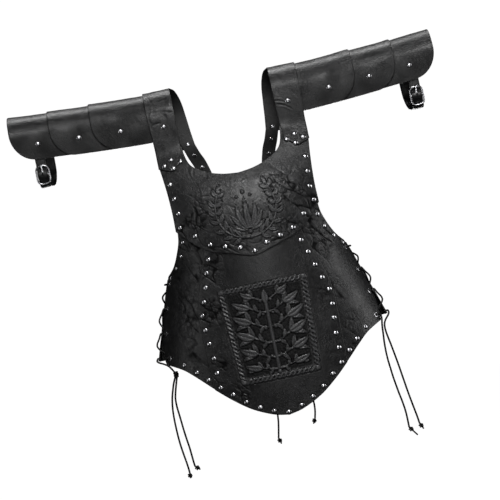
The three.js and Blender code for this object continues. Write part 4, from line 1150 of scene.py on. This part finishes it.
def arm_plate_grid(inner, outer, z, u):
    last = OVER_SHOULDER[-1]
    edge = last[0] + last[2] - (z - sleeve_lift((inner + outer) / 2))

    def half(end):
        near = end - PLATE_CORNER_HIGH * (1 - np.sin(np.linspace(0, 1, 30) * math.pi / 2))
        start = np.linspace(0, end - PLATE_CORNER_HIGH, 30, endpoint=False)
        close = end - np.array([1.1, 0.5, 0.15, 0])
        lines = np.unique(np.round(np.concatenate([start, near[near < end - 1.3], close]), 4))
        down = np.clip(1 - (end - lines) / PLATE_CORNER_HIGH, 0, 1)
        return lines, outer - PLATE_CORNER_LONG * (1 - np.sqrt(1 - down**2))

    front, front_outer = half(edge)
    back, back_outer = half(edge - PLATE_BACK_SHORT)
    along = np.concatenate([-front[::-1], back[1:]])
    end = np.concatenate([front_outer[::-1], back_outer[1:]])
    x = inner + (end[:, None] - inner) * u[None]
    return np.stack([x, np.broadcast_to(along[:, None], x.shape)], -1)


PLATE_CREASES = (
    rows((90, -66), (97, -65.5), (104, -67.5), (110, -71)), rows((95, -72), (106, -75), (115, -80.5), (122, -87))
)


def plate_folds(sign):
    """Soft folds across a shoulder plate, and the two sharp creases on the right one."""
    def extra(base):
        fold = 0.5 * noise_at(base * (0.35, 1, 1), 16, 1.7 * sign) + 0.35 * noise_at(base * (1, 0.4, 0.4), 9, 5.3)
        for line in PLATE_CREASES if sign > 0 else ():
            d, run, total = segment_distance(base[..., [0, 2]].reshape(-1, 2), smooth_line(line, 14))
            ends = np.sin(math.pi * np.clip(run / total, 0.02, 0.98)) ** 0.5
            groove = (-0.9 * np.exp(-((d / 1.3) ** 2)) + 0.75 * np.exp(-(((d - 2.6) / 1.3) ** 2))) * ends
            fold = fold + groove.reshape(fold.shape) * (base[..., 1] < 0)
        return fold
    return extra


def add_shoulders():
    shoulder = shoulder_plate_grid(fractions(50, 1.6), fractions(300, 1.6))
    back_strap = back_strap_grid(fractions(24, 1.6), fractions(265, 1.7))
    for side, sign in SIDES:
        # dull adds painted shade to the front faces of the shoulder and arm plates.
        leather_piece(
            f"shoulder_plate_{side}", shoulder_point, shoulder, layer(3) + GAP, None,
            0.55 if sign < 0 else 0.25, sign, seats=POINT_SEATS + PLATE_SEATS[0], extra=plate_folds(sign), dull=0.3)
        leather_piece(
            f"back_strap_{side}", shoulder_point, back_strap, back_strap_height, None, 0.4, sign)
        for number, inner, outer, z in ARM_PLATES:
            grid = arm_plate_grid(inner, outer, z, fractions(outer - inner, 1.9))
            leather_piece(
                f"arm_plate_{number}_{side}", shoulder_point, grid, layer(3 - number), None, 0.2, sign,
                seats=PLATE_SEATS[number], dull=0.5)


# Arm straps and buckles


def ribbon(kind, side, points, sign, slot):
    """A strap with rounded, grooved edges along points (x, y, z), its width along X, with a slot for the prong."""
    length = line_length(points)
    line = smooth_line(points, fractions(length, 1.3))
    way = np.gradient(line, axis=0)
    out = np.stack([np.zeros(len(line)), way[:, 2], -way[:, 1]], -1)
    out /= np.linalg.norm(out, axis=1, keepdims=True)
    base = line[:, None] + np.array([STRAP_WIDTH, 0, 0]) * (fractions(STRAP_WIDTH, 1.0)[None, :, None] - 0.5)
    rim = edge_distance(base)
    groove = 0.28 * np.exp(-(((rim - 2.3) / 0.5) ** 2))
    half = STRAP_THICK / 2
    face = half - rounded_drop(rim, 0.9) - groove + 0.12 * noise_at(base, 6, 3.3 * sign)
    outer = base + out[:, None] * face[..., None]
    inner = base - out[:, None] * (half - rounded_drop(rim, 0.6))[..., None]
    away = (base[:-1, :-1] + base[1:, 1:]) / 2 - (BUCKLE_X, FRAME_Y, BAR_Z)
    gone = ((away > (-1.9, *slot[0])) & (away < (1.9, *slot[1]))).all(-1)
    points, faces, _ = closed_shell(inner * (sign, 1, 1), outer * (sign, 1, 1), gone)
    obj = new_piece(f"{kind}_{side}", points, faces, "leather")
    none = np.zeros_like(rim)
    # Painted shade: the grooves along the strap edges are drawn darker through the pressed mask.
    paint(obj, rim=(rim, rim), worn=(none, none), flesh=(none, none + 0.6), pressed=(groove / 0.4, none),
          pull=(none, none))


LAID_IN = -3 * GAP - STRAP_THICK / 2


def inside_plate(x, alongs):
    seats = (raise_frame(shoulder_point, np.array([x, along], float)) for along in alongs)
    return [here + normal * LAID_IN for here, normal in seats]


def buckle_strap_points():
    behind = FRAME_Y + FRAME_WIRE + 3 * GAP + STRAP_THICK / 2
    over = FRAME_Y - BAR_RADIUS - 2 * GAP - 1.5 * STRAP_THICK
    down = [
        (behind, FRAME_TOP + 2), (behind, FRAME_TOP), (behind - 0.3, FRAME_TOP - 2), (FRAME_Y + 1.2, FRAME_TOP - 5),
        (FRAME_Y - 2.4, FRAME_TOP - 9), (over + 0.6, BAR_Z + 3), (over, BAR_Z), (over + 0.6, BAR_Z - 3),
        (FRAME_Y - 2.2, BAR_Z - 8), (FRAME_Y + 1.2, FRAME_BOTTOM + 5.2), (behind - 0.3, FRAME_BOTTOM + 2),
        (behind, FRAME_BOTTOM), (behind + 1, FRAME_BOTTOM - 3.4),
    ]
    return np.array([*inside_plate(BUCKLE_X, (-56, -67, -78, -89, -100)), *[(BUCKLE_X, y, z) for y, z in down]])


def arm_strap_points():
    under = FRAME_Y + FRAME_WIRE + 2 * GAP + 1.5 * STRAP_THICK
    loop = [
        (341.3, 47, -98), (342.5, 40, -111), (344, 28, -121), (345.7, 14, -126.5), (347.3, 0, -129),
        (348.7, -14, -130), (349.6, -27, -130), (350, -36, -129.4), (350, -43, -127.6),
    ]
    turn = BAR_RADIUS + GAP + STRAP_THICK / 2
    fold = [
        (FRAME_Y + turn * math.cos(math.radians(a)), BAR_Z + turn * math.sin(math.radians(a)))
        for a in (0, 45, 90, 135, 180, 225)
    ]
    down = [(under + 0.4, FRAME_BOTTOM + 1), (under, FRAME_BOTTOM + 5), (under - 0.7, BAR_Z - 7.5), *fold,
            (FRAME_Y - 0.1, BAR_Z - 5.5)]
    upper = inside_plate(STRAP_BACK_X, (56, 67, 78, 89, 100))
    return np.array([*upper, *loop, *[(BUCKLE_X, y, z) for y, z in down]])


def frame_parts():
    """Rounded frame with a heavy arched top bar, and its middle bar."""
    half_wide, half_high = FRAME_WIDTH / 2, (FRAME_TOP - FRAME_BOTTOM) / 2
    arcs = []
    for corner, (sx, sz) in enumerate(((1, 1), (-1, 1), (-1, -1), (1, -1))):
        angle = (corner + np.linspace(0, 1, 12)) * math.pi / 2
        arcs.append(np.stack([
            sx * (half_wide - FRAME_CORNER) + FRAME_CORNER * np.cos(angle),
            sz * (half_high - FRAME_CORNER) + FRAME_CORNER * np.sin(angle)], -1))
    ring = np.concatenate([
        part for arc, after in zip(arcs, arcs[1:] + arcs[:1])
        for part in (arc, np.linspace(arc[-1], after[0], 8)[1:-1])])
    top = smoothstep(ring[:, 1], half_high - 6, half_high)
    bow = top * np.cos(np.clip(ring[:, 0] / half_wide, -1, 1) * math.pi / 2)
    middle_z = (FRAME_TOP + FRAME_BOTTOM) / 2
    line = np.stack([BUCKLE_X + ring[:, 0], FRAME_Y - 0.9 * bow, middle_z + ring[:, 1] + 0.5 * bow], -1)
    bar = np.linspace((BUCKLE_X - half_wide, FRAME_Y, BAR_Z), (BUCKLE_X + half_wide, FRAME_Y, BAR_Z), 20)
    return [tube(line, FRAME_WIRE + 0.45 * top, 14, closed=True), tube(bar, BAR_RADIUS, 12)]


def prong_parts():
    rest = FRAME_Y - FRAME_WIRE - GAP - PRONG_RADIUS
    path = [
        (FRAME_Y - BAR_RADIUS - GAP - PRONG_RADIUS, BAR_Z), (FRAME_Y - 5.4, BAR_Z + 1.6), (FRAME_Y - 7, BAR_Z + 4.6),
        (FRAME_Y - 5.9, BAR_Z + 10), (rest - 0.9, FRAME_TOP), (rest - 0.5, FRAME_TOP + 2.3),
    ]
    t = np.linspace(0, 1, 40)
    line = smooth_line([(BUCKLE_X, y, z) for y, z in path], t)
    radius = PRONG_RADIUS * np.sqrt(np.clip(1 - smoothstep(t, 0.93, 1.0) ** 2, 0.08, 1))
    ring_angle = np.linspace(0, 2 * math.pi, 24, endpoint=False)
    loop = np.stack([
        np.full(24, float(BUCKLE_X)), FRAME_Y + 2.3 * np.cos(ring_angle), BAR_Z + 2.3 * np.sin(ring_angle)], -1)
    return [tube(line, radius, 12), tube(loop, 0.95, 10, closed=True)]


def add_buckles():
    for side, sign in SIDES:
        ribbon("buckle_strap", side, buckle_strap_points(), sign, ((-14, -2), (-1.4, 9)))
        ribbon("arm_strap", side, arm_strap_points(), sign, ((-8, -3), (-0.2, 6)))
        for name, parts in (("buckle_frame", frame_parts()), ("buckle_prong", prong_parts())):
            points, faces = joined(parts)
            new_piece(f"{name}_{side}", points * (sign, 1, 1), [face[::sign] for face in faces], "nickel")


# Rivets: a domed cap outside and a flatter one inside

CAP = lathe([
    (0, -0.5), (4.1, -0.5), (4.5, 0.0), (4.62, 0.4), (4.5, 0.85), (4.15, 1.15), (3.4, 1.56), (2.6, 1.87), (1.7, 2.1),
    (0.9, 2.22), (0, 2.26),
], 24)
BACK_CAP = lathe([
    (0, -0.5), (3.4, -0.5), (3.8, 0.0), (3.9, 0.3), (3.6, 0.7), (2.6, 1.05), (1.3, 1.2), (0, 1.25)
], 20)
cap_chance = np.random.default_rng(12)


def add_caps(name, seats):
    """The two caps of each rivet. seats holds where each lies, and the height of the inner face below it."""
    parts = []
    for (here, normal, height), under in seats:
        lift = float(sway(here[None])[0])
        tilt = normal + cap_chance.normal(0, 0.035, 3)
        spin = cap_chance.uniform(0, 6.28)
        parts.append(put(CAP, here + normal * (height + lift - 0.38), tilt, spin))
        parts.append(put(BACK_CAP, here + normal * (under + lift + 0.1), -tilt, spin))
    new_piece(name, *joined(parts), "nickel", False)


def add_rivets():
    def below(seats, level):
        return [(seat, layer(level(abs(seat[0][0]), seat[0][2]))) for seat in seats]

    add_caps("rivets_front", [
        *below(YOKE_SEATS, lambda x, z: 1 if z < -290 else 0 if z < -265 else 2),
        *below(CENTRE_SEATS, lambda x, z: 0 if x > 80 and z > -565 else 1),
        *below(SIDE_SEATS, lambda x, z: 0),
        *below(POINT_SEATS, lambda x, z: 2),
    ])
    add_caps("rivets_arms", [
        (seat, layer(level)) for level, seats in zip((2, 1, 0, 0), PLATE_SEATS) for seat in seats])
    rear = []
    middle = smooth_line(BACK_STRAP, 400)
    for z in BACK_STRAP_RIVETS:
        x = float(np.interp(-z, -middle[:, 1], middle[:, 0]))
        place = np.array([x, float(along_at(z))])
        level = float(back_strap_height(place))
        under = level if z > -310 else layer(0)
        rear += [(seat, under) for seat in seats_at(shoulder_point, place, level + LEATHER)]
    add_caps("rivets_back", rear)


add_yoke()
add_centre_front()
add_sides_and_back()
add_lacing()
add_shoulders()
add_buckles()
add_rivets()


# Studio, in metres: a pale floor as far below the vest as a wearer stands, a white tent and soft lights

FLOOR_Z, FLOOR_REACH, TENT_REACH = -1.45, 11.0, 12


def add_stage(name, points, faces):
    material = bpy.data.materials.new(name + "_paper")
    material.use_nodes = True
    inputs = material.node_tree.nodes["Principled BSDF"].inputs
    inputs["Base Color"].default_value = (0.9, 0.9, 0.9, 1)
    inputs["Roughness"].default_value = 0.9
    inputs["Emission Color"].default_value = (1, 1, 1, 1)
    inputs["Emission Strength"].default_value = 1.0
    mesh = bpy.data.meshes.new(name)
    mesh.from_pydata(points, [], faces)
    mesh.shade_smooth()
    mesh.materials.append(material)
    obj = linked(name, mesh)
    obj.visible_glossy = obj.visible_diffuse = obj.visible_shadow = False


def add_light(name, place, aim, size, power):
    light = bpy.data.lights.new(name, "AREA")
    light.shape = "RECTANGLE"
    light.size, light.size_y = size
    light.energy = power
    obj = linked(name, light)
    obj.location = place
    obj.rotation_euler = (Vector(aim) - Vector(place)).to_track_quat("-Z", "Y").to_euler()


around = np.linspace(0, 2 * math.pi, 48, endpoint=False)
floor = [(FLOOR_REACH * math.cos(a), FLOOR_REACH * math.sin(a), FLOOR_Z) for a in around]
add_stage("floor", floor, [list(range(48))])
tent, tent_faces = lathe([
    (TENT_REACH * math.sin(a) if 0 < a < 3.1 else 0, TENT_REACH * math.cos(a))
    for a in (0, 0.4, 0.8, 1.2, 1.57, 1.9, 2.3, 2.7, 3.15)
], 32)
add_stage("tent", tent.tolist(), tent_faces)
add_light("front_softbox", (0.35, -2.75, 2.0), (0, 0, -0.25), (1.5, 0.8), 62)
add_light("front_fill", (0.35, -3.4, -0.2), (0, 0, -0.4), (0.9, 1.2), 11)
add_light("side_right", (2.6, -0.25, 0.0), (0.15, 0, -0.4), (1.1, 1.5), 15)
add_light("side_left", (-2.5, -1.4, 0.0), (-0.1, 0, -0.4), (0.35, 1.5), 6)
add_light("overhead", (0.1, 1.0, 2.2), (0, 0, -0.15), (2.4, 0.3), 38)
add_light("back_softbox", (0, 3.3, -0.6), (0, 0, -0.35), (1.2, 1.0), 60)
world = bpy.data.worlds.new("studio_air")
world.use_nodes = True
world.node_tree.nodes["Background"].inputs["Color"].default_value = (1, 1, 1, 1)
world.node_tree.nodes["Background"].inputs["Strength"].default_value = 0.01
bpy.context.scene.world = world
bpy.context.scene.view_settings.view_transform = "Standard"
